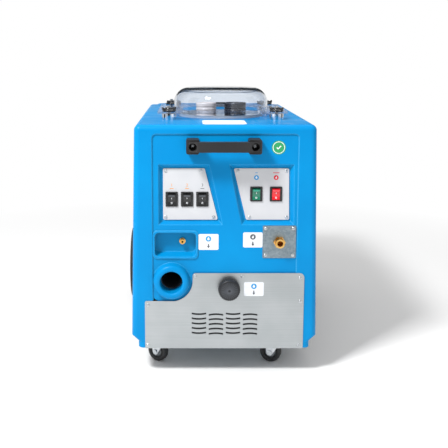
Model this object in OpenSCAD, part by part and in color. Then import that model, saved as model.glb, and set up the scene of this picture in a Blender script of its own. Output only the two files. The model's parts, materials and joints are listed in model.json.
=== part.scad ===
// Spot extractor with a steam generator, standing on two rear wheels and two front casters.
// The origin is on the floor under the middle of the machine, +Z is up and the controls face -Y.
// All lengths are in millimetres.

/* [Body] */
// Width of the moulded body at its top
body_top_w = 374; // [366:1:382]
// Draft of the body's sides in degrees
body_draft = 1.1; // [0.9:0.1:1.3]
// Height of the flat top above the floor
body_top_z = 533; // [528:1:540]
// Height of the skirt's lower edge above the floor
skirt_z = 57.5; // [55:0.5:60]
// Depth of the moulded body from front to back
body_depth = 590; // [580:2:600]
// Wall of the moulded body
shell_wall = 6; // [5:0.5:6.5]
// Radius of the body's outer edges
edge_r = 12; // [9:1:14]
// How far the middle of the front lies behind its two pillars
front_recess_d = 2.5; // [1.5:0.5:3]
// Width of the front's pillars beside its sunken middle
pillar_w = 37; // [36:0.5:38]

/* [Rear cover] */
// Depth of the rear cover behind the body
cover_depth = 60; // [54:2:66]
// Width of the rear cover
cover_w = 344; // [330:2:350]
// Distance from the body's top down to the rear cover's top
cover_drop = 2; // [1:1:8]
// Sheet thickness of the rear cover
cover_wall = 3; // [2:0.5:4]

/* [Control panels] */
// Depth of the two control recesses
panel_recess_d = 12; // [10:0.5:13]
// Thickness of the control panel plates
control_panel_t = 2; // [1.5:0.5:2.5]
// Distance from the body's top to the upper edge of the control panels
panel_drop = 91; // [88:1:94]
// Height of the control panels
panel_h = 108; // [104:1:110]
// Height of a switch bezel
bezel_h = 31; // [30:0.5:33]
// Width of a switch bezel
bezel_w = 25.4; // [24.5:0.1:26.5]
// How far a switch bezel stands in front of its panel
bezel_proud = 2; // [1.5:0.5:2.5]
// Distance between the three switches of the left panel
switch_pitch = 31.7; // [30:0.1:32]
// Full travel of a switch rocker in degrees
rocker_travel = 20; // [16:1:20]

/* [Handles] */
// Length of a carrying handle over its end blocks
handle_span = 152; // [148:1:158]
// How far a handle stands out from the body
handle_reach = 38; // [36:1:42]
// Height of the handle's end blocks
handle_block_h = 30; // [28:1:32]
// Width of the handle's end blocks
handle_block_w = 26.5; // [25:0.5:28]
// Height of the handle's grip bar
handle_bar_h = 20.5; // [18:0.5:22]
// Thickness of the handle's grip bar
handle_bar_t = 15; // [13:1:17]
// Distance from the body's top to the handle's middle
handle_drop = 41.5; // [40:0.5:44]

/* [Vacuum side] */
// Bore radius of the vacuum hose port
port_r = 23.3; // [22:0.1:24]
// Height of the vacuum port's axis above the floor
port_z = 205; // [204:1:208]
// Distance of the vacuum port's axis from the machine's middle
port_x = 111; // [108:0.5:112]
// How far the port's boss stands in front of the body
port_proud = 15; // [12:1:18]
// Outer radius of the port's boss at its face
port_boss_r = 37; // [35:0.5:38]
// Wall of the vacuum ducts
duct_wall = 2.5; // [2:0.5:3]
// Depth of the recovery tank below the body's top
tank_depth = 200; // [190:2:204]
// Wall of the recovery tank
tank_wall = 4; // [3:0.5:5]

/* [Clear lid] */
// Outer radius of the clear dome
dome_r = 109; // [106:0.5:110]
// Height of the dome's crown above the body's top
dome_h = 67; // [62:1:70]
// Radius that blends the dome's side into its crown
dome_blend_r = 34; // [28:1:38]
// Wall of the clear lid
lid_wall = 4; // [3:0.5:4.5]
// Distance from the body's front to the dome's axis
dome_setback = 232; // [228:1:236]
// Sideways distance from the dome's axis to a knob
knob_dx = 118; // [116:0.5:120]
// Front-to-back distance from the dome's axis to a knob
knob_dy = 112; // [110:0.5:114]
// Height of the chrome collars under the lid's flange
collar_h = 13; // [11:0.5:14]
// Radius of the chrome collars
collar_r = 15.5; // [14:0.5:16]
// Radius of the lid studs
stud_r = 4; // [3:0.5:4]
// Radius of a wing knob's round skirt
knob_skirt_r = 15; // [14:0.5:16]

/* [Water and steam] */
// Width of the water outlet's recess
water_recess_w = 86; // [80:1:88]
// Height of the water outlet's recess
water_recess_h = 45; // [42:1:46]
// Depth of the water outlet's recess
water_recess_d = 20; // [16:1:22]
// Radius of the brass water nipple's collar
nipple_r = 6.5; // [6:0.5:7]
// Bore radius of the brass water nipple
nipple_bore_r = 2.2; // [2:0.1:2.5]
// Side of the square steam plate
steam_plate_w = 69; // [66:1:70]
// Outer radius of the brass steam fitting
fitting_r = 9.5; // [9:0.5:10]
// Bore radius of the brass steam fitting
fitting_bore_r = 6; // [5.5:0.5:6.5]
// Radius of the steam boiler
boiler_r = 78; // [74:1:79]
// Length of the steam boiler
boiler_len = 180; // [170:2:186]
// Radius of the filler cap
cap_r = 23; // [21:0.5:23.5]
// How far the filler cap stands in front of its neck's flange
cap_h = 17; // [15:1:19]
// Turns that take the filler cap off its thread
cap_turns = 3; // [2:1:4]
// Pitch of the filler cap's thread
cap_pitch = 3; // [2:0.5:4]

/* [Front panel] */
// Sheet thickness of the stainless front panel and the steam plate
sheet_t = 1.5; // [1:0.25:2]
// Height of the front panel's upper edge above the floor
front_panel_top_z = 222; // [219:1:224]
// Width of the front panel
front_panel_w = 334; // [328:1:336]
// Length of a louvre slot
louvre_len = 30.5; // [28:0.5:32]
// Width of a louvre slot
louvre_w = 3.8; // [3:0.2:4.2]
// Vertical distance between louvre rows
louvre_pitch = 10.5; // [9.5:0.5:11]
// Sideways distance between louvre columns
louvre_column_pitch = 36; // [35:0.5:38]
// Rows of louvre slots
louvre_rows = 5; // [4:1:5]

/* [Wheels] */
// Radius of the rear wheels over their tyres
rear_wheel_r = 100; // [96:1:102]
// Width of the rear tyres
rear_tyre_w = 33; // [30:1:36]
// Radius of the rear axle
axle_r = 8; // [7:0.5:8]
// Distance from the body's back to the rear axle
axle_setback = 102; // [98:1:106]
// Gap between the body's side and a rear wheel
wheel_gap = 4; // [3:0.5:5]
// Radius of the caster wheels
caster_r = 23; // [22:0.5:24]
// Width of the caster wheels
caster_w = 18; // [16:1:20]
// Distance from a caster's swivel axis to its wheel's axle
caster_trail = 20; // [18:1:22]
// Distance from the body's front to the swivel axes
caster_setback = 57; // [54:1:60]
// Sideways distance from the machine's middle to a swivel axis
caster_x = 126; // [124:1:128]
// Direction in which the left caster's wheel trails, in degrees from +X
left_caster_turn = 146; // [0:1:359]
// Direction in which the right caster's wheel trails, in degrees from +X
right_caster_turn = 160; // [0:1:359]

/* [Fits] */
// Radial play of a pin or shaft that turns in its bore
running_fit = 0.05; // [0.03:0.01:0.1]
// Gap between a fixed piece and the hole or seat that takes it
seat_gap = 0.25; // [0.2:0.05:0.3]

/* [Hidden] */
$fn = 64;
hull_fn = 32;

// Main planes
front_y = -(body_depth + cover_depth) / 2;
back_y = front_y + body_depth;
cover_y = back_y + cover_depth;
top_in_z = body_top_z - shell_wall;
front_in_y = front_y + shell_wall;
back_in_y = back_y - shell_wall;
face_y = front_y + front_recess_d;
skirt_step = 14;
skirt_top_z = skirt_z + 14;
front_recess_w = body_top_w - 2 * pillar_w;
front_recess_top_z = body_top_z - 19;
front_recess_low_z = skirt_z + 85;
side_low_z = skirt_top_z + 12;
plate_t = 3;
plate_top_z = skirt_z + 17.5;
plate_low_z = plate_top_z - plate_t;
dome_y = front_y + dome_setback;
cover_top_z = body_top_z - cover_drop;

// Half the body's width at a height
function half_w(z) = body_top_w / 2 + (body_top_z - z) * tan(body_draft);
function inner_half_w() = half_w(side_low_z) - skirt_step - shell_wall;

// Control panel outlines, as corner points in X and Z
panel_top_z = body_top_z - panel_drop;
panel_low_z = panel_top_z - panel_h;
left_panel_x = [-128, -42, -14, -128];
right_panel_x = [18, 132, 134, 44.5];
panel_edge = 2.5;
recess_flare = 11;
floor_y = front_y + panel_recess_d;
switch_z = panel_top_z - 64.5;
lamp_switch_z = panel_top_z - 53.5;
left_switch_x = -78.3;
green_x = 65;
red_x = 105.7;
switch_body_d = 24;

// Switch rockers
rocker_gap = 0.4;
rocker_w = 16;
rocker_half_h = 11.4;
pocket_half_h = 13.1;
pivot_depth = 2;
pocket_d = 12;

// Handles
handle_x = -4;
handle_z = body_top_z - handle_drop;
handle_screw_x = handle_span / 2 - handle_block_w / 2;
handle_face_reach = handle_reach - 9;
handle_screw_r = 3;
handle_head_r = 6;
handle_head_t = 3.5;
handle_counterbore_r = 8;
handle_seat_reach = 12;
rear_handle_z = cover_top_z - 45;

// Vacuum port, ducts and recovery tank
port_axis_x = -port_x;
port_base_r = port_boss_r + 2.5;
port_round = 8;
port_lip = 4;
port_inner_y = front_in_y + 14;
duct_in_r = port_r - 1.5;
duct_r = duct_in_r + duct_wall;
bend_r = 38;
pipe_dx = 34;
pipe_r = 22.5;
pipe_wall = 2;
cage_r = 26;
pipe_top_z = body_top_z + 6;
pipe_cap_skirt = 14;
pipe_cap_h = 38;
cage_ring_gap = 5.5;
tank_half = 112;
tank_low_z = body_top_z - tank_depth;
tank_mouth_r = 92;
tank_collar_r = 97;
tank_rim_z = body_top_z + 3;
top_hole_r = tank_collar_r + 0.5;
gasket_t = 3;

// Lid
flange_top_z = body_top_z + collar_h + lid_wall;
flange_edge_x = knob_dx + 26;
flange_edge_y = knob_dy + 18;
flange_corner_r = 28;
skirt_ring_z = tank_rim_z + gasket_t;
knob_skirt_h = 4;
knob_hub_r = 9;
knob_h = 10;
knob_wing_t = 7;
stud_top_z = flange_top_z + knob_h + 3;

// Water outlet
water_recess_x = -102.5;
water_recess_slope = 7;
water_recess_z = panel_low_z - 48.5;
water_floor_y = front_y + water_recess_d;
nipple_x = -88;
nipple_z = water_recess_z + 1;
nipple_proud = 11;

// Steam plate and fitting
steam_x = front_recess_w / 2 - steam_plate_w / 2 - 2;
steam_z = panel_low_z - 45.5;
steam_screw_inset = 6;
fitting_proud = 16;
fitting_tail = 30;

// Filler, boiler and pipes
filler_x = 9.5;
filler_z = 190;
filler_flange_r = 21;
filler_flange_t = 3;
neck_r = 15;
neck_wall = 2.5;
cap_rim_y = front_y - sheet_t - filler_flange_t;
neck_end_y = cap_rim_y - cap_turns * cap_pitch - 1;
boiler_x = filler_x + 53;
boiler_z = 172;
boiler_front_y = front_y + 75;
boiler_wall = 2;
boiler_back_y = boiler_front_y + boiler_len;
heater_z = boiler_z - 40;
heater_r = 14;
saddle_w = 90;
saddle_t = 12;
saddle_rise = 18;
steam_pipe_r = 5;
steam_bend_r = 20;
steam_run_y = boiler_front_y + boiler_len / 3;
steam_boss_z = boiler_z + sqrt(boiler_r * boiler_r - pow(steam_x - boiler_x, 2)) + 5;

// Vacuum motor
solution_depth = body_depth / 2 - 150;
motor_x = pipe_dx;
motor_r = 64;
motor_top_z = 198;
fan_r = 70;
motor_y = back_y - solution_depth - fan_r - 10;
fan_h = 42;
fan_wall = 3;
shaft_r = 5;
eye_r = 22.5;

// Pump, hoses and solution tank
pump_x0 = -86;
pump_w = 70;
pump_y0 = front_y + 24;
pump_len = 96;
pump_h = 70;
hose_r = 4.5;
hose_bend_r = 14;
delivery_x = nipple_x + 2 * hose_bend_r;
supply_x = -62;
supply_z = plate_top_z + 62;
solution_y0 = back_y - solution_depth;
solution_back_y = back_in_y - 1;
solution_low_z = 128;
solution_half_w = 160;
fill_x = 0;
fill_y = back_y - 70;
fill_r = 30;

// Wheels
axle_y = back_y - axle_setback;
axle_z = rear_wheel_r;
wheel_in_x = half_w(axle_z) + wheel_gap;
wheel_mid_x = wheel_in_x + rear_tyre_w / 2;
wheel_out_x = wheel_in_x + rear_tyre_w;
hub_r = 68;
hub_bore_r = axle_r + running_fit;
axle_cap_t = 3;
bracket_x = inner_half_w() - 12;

// Casters
caster_y = front_y + caster_setback;
caster_plate_t = 2.5;
caster_plate_low_z = plate_low_z - caster_plate_t;
kingpin_r = 5;
fork_t = 2;
fork_head_r = 19;
fork_head_top_z = caster_plate_low_z - 5;
fork_in = caster_w / 2 + 1;
wheel_pin_r = 3;

// Small screws
screw_r = 1.8;
screw_head_r = 3.6;
screw_head_t = 1.6;
screw_len = 9;

// Rear fittings
gland_x = -110;
gland_z = 130;
gland_r = 9;
gland_bore_r = 4.5;
drain_x = 105;
drain_z = 150;
drain_r = 15;
drain_bore_r = 9;
lever_pin_r = 4;
lever_y = cover_y + 18;
lever_len = 42;

// ---- Shapes in two dimensions ----

function unit(v) = v / norm(v);

// Points of the arc that rounds the corner b between a and c
function corner(a, b, c, r, n) =
  let (u = unit(a - b), w = unit(c - b), h = acos(u * w) / 2)
  let (s = b + u * r / tan(h), e = b + w * r / tan(h), m = b + unit(u + w) * r / sin(h))
  let (a0 = atan2(s[1] - m[1], s[0] - m[0]), a1 = atan2(e[1] - m[1], e[0] - m[0]))
  let (da = (a1 - a0 + 540) % 360 - 180)
  [for (i = [0:n]) m + r * [cos(a0 + da * i / n), sin(a0 + da * i / n)]];

// Outline with every corner rounded to radius r
function rounded(p, r, n = 5) =
  [for (i = [0:len(p) - 1]) each corner(p[(i + len(p) - 1) % len(p)], p[i], p[(i + 1) % len(p)], r, n)];

// Corners of a rectangle given by its middle and its half sizes
function box_points(cx, cy, hx, hy) =
  [for (c = [[-1, -1], [1, -1], [1, 1], [-1, 1]]) [cx + c[0] * hx, cy + c[1] * hy]];

// Corners of a panel outline grown by m on every side
function panel_points(x, m) = [
  [x[3] - m, panel_low_z - m], [x[2] + m, panel_low_z - m],
  [x[1] + m, panel_top_z + m], [x[0] - m, panel_top_z + m]];

// Slot whose middle line sags by s over its length
function slot_points(len, w, s) = concat(
  [for (i = [0:6]) let (t = i / 3 - 1) [t * len / 2, s * t * t - w / 2]],
  [for (i = [0:6]) let (t = 1 - i / 3) [t * len / 2, s * t * t + w / 2]]);

// ---- Shapes in three dimensions ----

// A sheet of thickness t whose back lies on the plane y, drawn in X and Z
module upright(y, t) {
  translate([0, y, 0]) rotate([90, 0, 0]) linear_extrude(t) children();
}

// The same at the place x
module upright_at(x, y, t) {
  translate([x, 0, 0]) upright(y, t) children();
}

// A cylinder along Y from y0 to y1
module rod_y(x, z, r, y0, y1) {
  translate([x, y1, z]) rotate([90, 0, 0]) cylinder(r = r, h = y1 - y0);
}

// A cylinder along X from x0 to x1
module rod_x(x0, x1, y, z, r) {
  translate([x0, y, z]) rotate([0, 90, 0]) cylinder(r = r, h = x1 - x0);
}

// A hexagon nut along Y that starts at y0
module hexagon_y(x, z, r, y0, h) {
  translate([x, y0 + h, z]) rotate([90, 0, 0]) cylinder(r = r, h = h, $fn = 6);
}

// A ring about Z with a rectangular section
module ring(r_in, r_out, h) {
  difference() {
    cylinder(r = r_out, h = h);
    translate([0, 0, -1]) cylinder(r = r_in, h = h + 2);
  }
}

// A quarter bend in the XY plane from +X round to +Y
module bend(path_r, r_out, r_in = 0) {
  rotate_extrude(angle = 90) translate([path_r, 0]) difference() {
    circle(r = r_out);
    if (r_in > 0) circle(r = r_in);
  }
}

// A small pan-head screw that enters along +Y with its head's back on the plane y
module small_screw(x, y, z) {
  rod_y(x, z, screw_head_r, y - screw_head_t, y);
  rod_y(x, z, screw_r, y - 0.4, y + screw_len);
}

module screw_hole(x, z, y0, y1) {
  rod_y(x, z, screw_r + seat_gap, y0, y1);
}

// ---- Screw places, in X and Z ----

front_panel_x = front_panel_w / 2;
front_panel_screw_points = [
  [-61.5, front_panel_top_z - 6.5], [37, front_panel_top_z - 6.5],
  [front_panel_x - 8.5, front_panel_top_z - 11], [7 - front_panel_x, port_z - 53],
  [front_panel_x - 7.5, port_z - 45], [front_panel_x - 9, skirt_z + 7], [5.5 - front_panel_x, skirt_z + 5.5]];
steam_screw_reach = steam_plate_w / 2 - steam_screw_inset;
steam_screw_points = box_points(steam_x, steam_z, steam_screw_reach, steam_screw_reach);
left_panel_screw_points = [
  [left_panel_x[0] + 5.5, panel_top_z - 5.5], [left_panel_x[1] - 7, panel_top_z - 5.5],
  [left_panel_x[2] - 9, panel_low_z + 5.5], [left_panel_x[3] + 5.5, panel_low_z + 5.5]];
right_panel_screw_points = [
  [right_panel_x[0] + 9, panel_top_z - 5.5], [right_panel_x[1] - 5.5, panel_top_z - 5.5],
  [right_panel_x[2] - 5.5, panel_low_z + 5.5], [right_panel_x[3] + 7, panel_low_z + 5.5]];
cover_screw_points = [for (sx = [-1, 1], z = [skirt_z + 40, (skirt_z + cover_top_z) / 2, cover_top_z - 34])
  [sx * (cover_w / 2 + 8), z]];

// ---- Moulded body ----

// Solid of the body, inset by a wall and reaching down to the plane low_z
module body_solid() {
  hull() for (sx = [-1, 1], y = [front_y + edge_r, back_y - edge_r]) {
    translate([sx * (half_w(body_top_z) - edge_r), y, body_top_z - edge_r]) sphere(r = edge_r, $fn = hull_fn);
    translate([sx * (half_w(side_low_z) - edge_r), y, side_low_z]) cylinder(r = edge_r, h = 1, $fn = hull_fn);
    translate([sx * (half_w(side_low_z) - edge_r - skirt_step + 1), y, skirt_top_z])
      cylinder(r = edge_r, h = 1, $fn = hull_fn);
  }
  skirt_half_w = half_w(side_low_z) - skirt_step;
  translate([0, 0, skirt_z]) linear_extrude(skirt_top_z - skirt_z + 0.5)
    polygon(rounded(box_points(0, (front_y + back_y) / 2, skirt_half_w, body_depth / 2), edge_r));
}

// Space inside the body's wall
module body_space() {
  inner_r = edge_r - shell_wall / 2;
  space_low_z = side_low_z + 9;
  hull() for (sx = [-1, 1], y = [front_in_y + inner_r, back_in_y - inner_r]) {
    translate([sx * (half_w(body_top_z) - shell_wall - inner_r), y, top_in_z - inner_r])
      sphere(r = inner_r, $fn = hull_fn);
    translate([sx * (half_w(space_low_z) - shell_wall - inner_r), y, space_low_z])
      cylinder(r = inner_r, h = 1, $fn = hull_fn);
    translate([sx * (inner_half_w() - inner_r), y, skirt_z - 1])
      cylinder(r = inner_r, h = side_low_z - 5 - skirt_z, $fn = hull_fn);
  }
}

// A control recess with sloping walls
module control_recess(x) {
  hull() {
    upright(front_y + 0.1, 1) polygon(panel_points(x, recess_flare));
    upright(floor_y, 0.1) polygon(panel_points(x, panel_edge));
  }
}

// The water outlet's recess grown by m, whose lower wall slopes out to the front
module water_recess(m, low_y) {
  half_h = water_recess_h / 2 + m;
  hull() {
    upright(front_y, 1)
      polygon(rounded(box_points(water_recess_x, water_recess_z - water_recess_slope / 2,
        water_recess_w / 2 + m, half_h + water_recess_slope / 2), 9, 4));
    upright(low_y, 0.1)
      polygon(rounded(box_points(water_recess_x, water_recess_z, water_recess_w / 2 + m, half_h), 9, 4));
  }
}

// Boss of the vacuum port with a rounded face and a rounded mouth
module port_boss() {
  foot_d = 6;
  rim_z = port_proud + foot_d - port_round;
  lip_z = port_proud + foot_d - port_lip;
  translate([port_axis_x, front_y + foot_d, port_z]) rotate([90, 0, 0]) rotate_extrude() polygon(concat(
    [[port_r - 1, 0], [port_base_r, 0]],
    [for (a = [0:15:90]) [port_boss_r - port_round + port_round * cos(a), rim_z + port_round * sin(a)]],
    [for (a = [90:22.5:180]) [port_r + port_lip + port_lip * cos(a), lip_z + port_lip * sin(a)]],
    [[port_r - 1, lip_z]]));
}

// Sunken middle of the front between the pillars, which runs down behind the front panel
module sunken_middle() {
  upright(face_y, front_recess_d + 1)
    polygon(rounded(box_points(0, (front_recess_low_z + front_recess_top_z) / 2,
      front_recess_w / 2, (front_recess_top_z - front_recess_low_z) / 2), 8));
}

module front_openings() {
  control_recess(left_panel_x);
  control_recess(right_panel_x);
  // Windows for the switch bodies
  upright(front_y + 40, 60)
    polygon(box_points(left_switch_x, switch_z, switch_pitch + bezel_w / 2 + 1, bezel_h / 2 + 1));
  upright(front_y + 40, 60)
    polygon(box_points((green_x + red_x) / 2, lamp_switch_z,
      (red_x - green_x + bezel_w) / 2 + 1, bezel_h / 2 + 1));
  water_recess(0, water_floor_y);
  rod_y(nipple_x, nipple_z, 4 + seat_gap, front_y - 1, front_y + 60);
  // Opening behind the steam plate
  rod_y(steam_x, steam_z, fitting_r + 5, front_y - 1, front_y + 60);
  // Service window behind the front panel
  upright(front_y + 40, 60) difference() {
    polygon(rounded(box_points(0, (plate_top_z + front_panel_top_z) / 2, 148,
      (front_panel_top_z - plate_top_z) / 2 - 14), 8));
    translate([port_axis_x, port_z]) circle(r = port_base_r + 14);
  }
  rod_y(filler_x, filler_z, neck_r + 1, front_y - 1, front_in_y + 1);
  rod_y(port_axis_x, port_z, port_r, front_y - port_proud - 1, front_y + 60);
}

module body_shell() {
  color([0.0, 0.64, 0.92]) difference() {
    union() {
      difference() {
        body_solid();
        body_space();
        sunken_middle();
      }
      // Walls of the recesses inside the body
      upright(floor_y + 4, panel_recess_d) polygon(panel_points(left_panel_x, recess_flare + 3));
      upright(floor_y + 4, panel_recess_d) polygon(panel_points(right_panel_x, recess_flare + 3));
      intersection() {
        water_recess(4, water_floor_y + 4);
        translate([-half_w(0), front_y + 0.5, 0]) cube([half_w(0), 60, body_top_z]);
      }
      port_boss();
      rod_y(port_axis_x, port_z, port_r + 4, front_y + 4, port_inner_y);
    }
    front_openings();
    // Mouth for the recovery tank
    translate([0, dome_y, top_in_z - 20]) cylinder(r = top_hole_r, h = 60);
    // Filler of the solution tank
    translate([fill_x, fill_y, top_in_z - 20]) cylinder(r = fill_r + seat_gap, h = 60);
    for (sx = [-1, 1], sy = [-1, 1])
      translate([sx * knob_dx, dome_y + sy * knob_dy, top_in_z - 20]) cylinder(r = stud_r + seat_gap, h = 60);
    for (sx = [-1, 1])
      rod_y(handle_x + sx * handle_screw_x, handle_z, handle_screw_r + seat_gap, front_y - 9, front_y + 30);
    for (p = concat(front_panel_screw_points, steam_screw_points))
      screw_hole(p[0], p[1], front_y - 9, front_y + 12);
    for (p = concat(left_panel_screw_points, right_panel_screw_points))
      screw_hole(p[0], p[1], front_y - 9, front_y + 30);
    for (p = cover_screw_points) screw_hole(p[0], p[1], back_y - 12, back_y + 9);
    // Window to the rear cover
    upright(back_y + 9, 30)
      polygon(box_points(0, (skirt_z + cover_top_z) / 2, cover_w / 2 - 16, (cover_top_z - skirt_z) / 2 - 40));
    rod_x(-half_w(0) - 9, half_w(0) + 9, axle_y, axle_z, axle_r + 1);
  }
}

// ---- Rear cover and base plate ----

module rear_cover() {
  low_z = skirt_z + 10;
  mid_z = (low_z + cover_top_z) / 2;
  half_h = (cover_top_z - low_z) / 2;
  color([0.0, 0.60, 0.88]) difference() {
    union() {
      upright(cover_y, cover_depth) polygon(rounded(box_points(0, mid_z, cover_w / 2, half_h), 14));
      upright(back_y + 2 * cover_wall, 2 * cover_wall)
        polygon(rounded(box_points(0, mid_z, cover_w / 2 + 15, half_h - edge_r - 4), 8));
    }
    upright(cover_y - cover_wall, cover_depth)
      polygon(rounded(box_points(0, mid_z, cover_w / 2 - cover_wall, half_h - cover_wall), 12));
    for (p = cover_screw_points) screw_hole(p[0], p[1], back_y - 1, back_y + 20);
    for (sx = [-1, 1])
      rod_y(sx * handle_screw_x, rear_handle_z, handle_screw_r + seat_gap, cover_y - 20, cover_y + 9);
    rod_y(gland_x, gland_z, gland_r + seat_gap, cover_y - 20, cover_y + 9);
    rod_y(drain_x, drain_z, drain_r + seat_gap, cover_y - 20, cover_y + 9);
    // Air slots of the vacuum motor
    for (i = [0:6]) upright(cover_y + 9, 20)
      polygon(rounded(box_points(0, mid_z - 60 + i * 14, 60, 3), 2.9));
  }
}

module base_plate() {
  hx = inner_half_w() - 0.5;
  hy = body_depth / 2 - shell_wall - 0.5;
  color([0.62, 0.64, 0.66]) difference() {
    union() {
      translate([0, 0, plate_low_z]) linear_extrude(plate_t)
        polygon(rounded(box_points(0, (front_y + back_y) / 2, hx, hy), edge_r));
      // Lugs that carry the rear axle
      for (sx = [-1, 1]) translate([sx * bracket_x - 5, axle_y - 22, plate_top_z - 0.1])
        cube([10, 44, axle_z + 20 - plate_top_z]);
    }
    rod_x(-hx - 9, hx + 9, axle_y, axle_z, axle_r + seat_gap);
    for (sx = [-1, 1])
      translate([sx * caster_x, caster_y, plate_low_z - 1]) cylinder(r = kingpin_r + 3, h = 20);
  }
}

// ---- Stainless front panel ----

module front_panel() {
  arc_r = port_base_r + 5;
  low = skirt_z - 0.5;
  shelf_z = port_z - arc_r + 1;
  left_x = -front_panel_x;
  step_x = port_axis_x + arc_r;
  outline = concat(
    corner([left_x, shelf_z], [left_x, low], [front_panel_x, low], 2, 4),
    corner([left_x, low], [front_panel_x, low], [front_panel_x, front_panel_top_z], 2, 4),
    corner([front_panel_x, low], [front_panel_x, front_panel_top_z], [step_x, front_panel_top_z], 10, 6),
    corner([front_panel_x, front_panel_top_z], [step_x, front_panel_top_z], [step_x, port_z], 6, 6),
    [for (a = [0:-7.5:-82.5]) [port_axis_x + arc_r * cos(a), port_z + arc_r * sin(a)]],
    corner([port_axis_x, shelf_z], [left_x, shelf_z], [left_x, low], 4, 5));
  louvre_top_z = skirt_z + 75;
  louvre_x = 0.8;
  louvre_sag = 1.7;
  color([0.80, 0.82, 0.83]) difference() {
    upright(front_y, sheet_t) polygon(outline);
    // Two pairs of louvre columns whose slots sag and arch in turn
    for (i = [0:3], j = [0:louvre_rows - 1])
      translate([louvre_x + (i - 1.5) * louvre_column_pitch, 0, louvre_top_z - j * louvre_pitch])
        upright(front_y + 1, sheet_t + 2)
          polygon(slot_points(louvre_len, louvre_w, i % 2 == 0 ? louvre_sag : -louvre_sag));
    for (p = front_panel_screw_points) screw_hole(p[0], p[1], front_y - 9, front_y + 9);
    rod_y(filler_x, filler_z, neck_r + seat_gap, front_y - 9, front_y + 9);
  }
}

module panel_screws() {
  color([0.75, 0.76, 0.77]) {
    for (p = front_panel_screw_points) small_screw(p[0], front_y - sheet_t, p[1]);
    for (p = steam_screw_points) small_screw(p[0], face_y - sheet_t, p[1]);
    for (p = concat(left_panel_screw_points, right_panel_screw_points))
      small_screw(p[0], floor_y - control_panel_t, p[1]);
    for (p = cover_screw_points) translate([0, 2 * (back_y + 2 * cover_wall), 0]) mirror([0, 1, 0])
      small_screw(p[0], back_y + 2 * cover_wall, p[1]);
  }
}

// ---- Control panels and switches ----

module control_panel(x, screws, switches, z) {
  color([0.91, 0.93, 0.96]) difference() {
    upright(floor_y, control_panel_t) polygon(rounded(panel_points(x, 0), 3));
    for (p = screws) screw_hole(p[0], p[1], front_y - 9, front_y + 30);
    for (sx = switches)
      upright(front_y + 30, 40) polygon(box_points(sx, z, switch_hole_w / 2, switch_hole_h / 2));
  }
}

switch_hole_w = rocker_w + 5;
switch_hole_h = bezel_h - 3;
left_switches = [for (i = [-1:1]) left_switch_x + i * switch_pitch];
right_switches = [green_x, red_x];
plate_face_y = floor_y - control_panel_t;
bezel_y = plate_face_y - bezel_proud;
pivot_y = bezel_y + pivot_depth;

module left_control_panel() {
  control_panel(left_panel_x, left_panel_screw_points, left_switches, switch_z);
}

module right_control_panel() {
  control_panel(right_panel_x, right_panel_screw_points, right_switches, lamp_switch_z);
}

// Bezel and body of one rocker switch
module switch_housing(x, z) {
  pocket_half_w = rocker_w / 2 + rocker_gap;
  difference() {
    union() {
      upright(plate_face_y, bezel_proud) polygon(rounded(box_points(x, z, bezel_w / 2, bezel_h / 2), 1.5));
      upright(plate_face_y + switch_body_d, switch_body_d)
        polygon(box_points(x, z, switch_hole_w / 2 - seat_gap, switch_hole_h / 2 - seat_gap));
    }
    upright(bezel_y + pocket_d, pocket_d + 1) polygon(box_points(x, z, pocket_half_w, pocket_half_h));
    rod_x(x - pocket_half_w - 1.5, x + pocket_half_w + 1.5, pivot_y, z, 1.5 + running_fit);
  }
}

module switch_housings() {
  color([0.06, 0.06, 0.07]) {
    for (x = left_switches) switch_housing(x, switch_z);
    for (x = right_switches) switch_housing(x, lamp_switch_z);
  }
}

// A rocker with its lower half pressed in, turning on two short pins
module rocker(x, z) {
  translate([x, pivot_y, z]) rotate([rocker_travel / 2, 0, 0]) {
    translate([-rocker_w / 2, 0, 0]) rotate([90, 0, 90]) linear_extrude(rocker_w)
      polygon([[-5.2, -rocker_half_h], [-3.6, -5], [-3.2, 0], [-3.6, 5], [-5.2, rocker_half_h],
        [1, rocker_half_h], [6.5, 4], [6.5, -4], [1, -rocker_half_h]]);
    rod_x(-rocker_w / 2 - rocker_gap - 1.2, rocker_w / 2 + rocker_gap + 1.2, 0, 0, 1.5);
  }
}

module left_rocker_1() { color([0.08, 0.08, 0.09]) rocker(left_switches[0], switch_z); }
module left_rocker_2() { color([0.08, 0.08, 0.09]) rocker(left_switches[1], switch_z); }
module left_rocker_3() { color([0.08, 0.08, 0.09]) rocker(left_switches[2], switch_z); }
module green_rocker() { color([0.0, 0.55, 0.42]) rocker(green_x, lamp_switch_z); }
module red_rocker() { color([0.90, 0.02, 0.10]) rocker(red_x, lamp_switch_z); }

// ---- Steam and water outlets ----

module steam_plate() {
  color([0.48, 0.56, 0.60]) difference() {
    upright(face_y, sheet_t)
      polygon(rounded(box_points(steam_x, steam_z, steam_plate_w / 2, steam_plate_w / 2), 2));
    for (p = steam_screw_points) screw_hole(p[0], p[1], face_y - 9, face_y + 9);
    rod_y(steam_x, steam_z, fitting_r - 2 + seat_gap, face_y - 9, face_y + 9);
  }
}

module steam_fitting() {
  plate_face = face_y - sheet_t;
  color([0.78, 0.62, 0.30]) difference() {
    union() {
      rod_y(steam_x, steam_z, fitting_r, plate_face - fitting_proud, plate_face);
      rod_y(steam_x, steam_z, fitting_r - 2, plate_face - 1, face_y + fitting_tail);
      // Hexagon against the plate and locknut behind it
      hexagon_y(steam_x, steam_z, fitting_r + 3, plate_face - 5, 5);
      hexagon_y(steam_x, steam_z, fitting_r + 3, face_y, 7);
    }
    rod_y(steam_x, steam_z, fitting_bore_r, plate_face - fitting_proud - 9, face_y + 12);
    rod_y(steam_x, steam_z, steam_pipe_r - 1, face_y + 11, face_y + fitting_tail + 9);
  }
}

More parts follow.
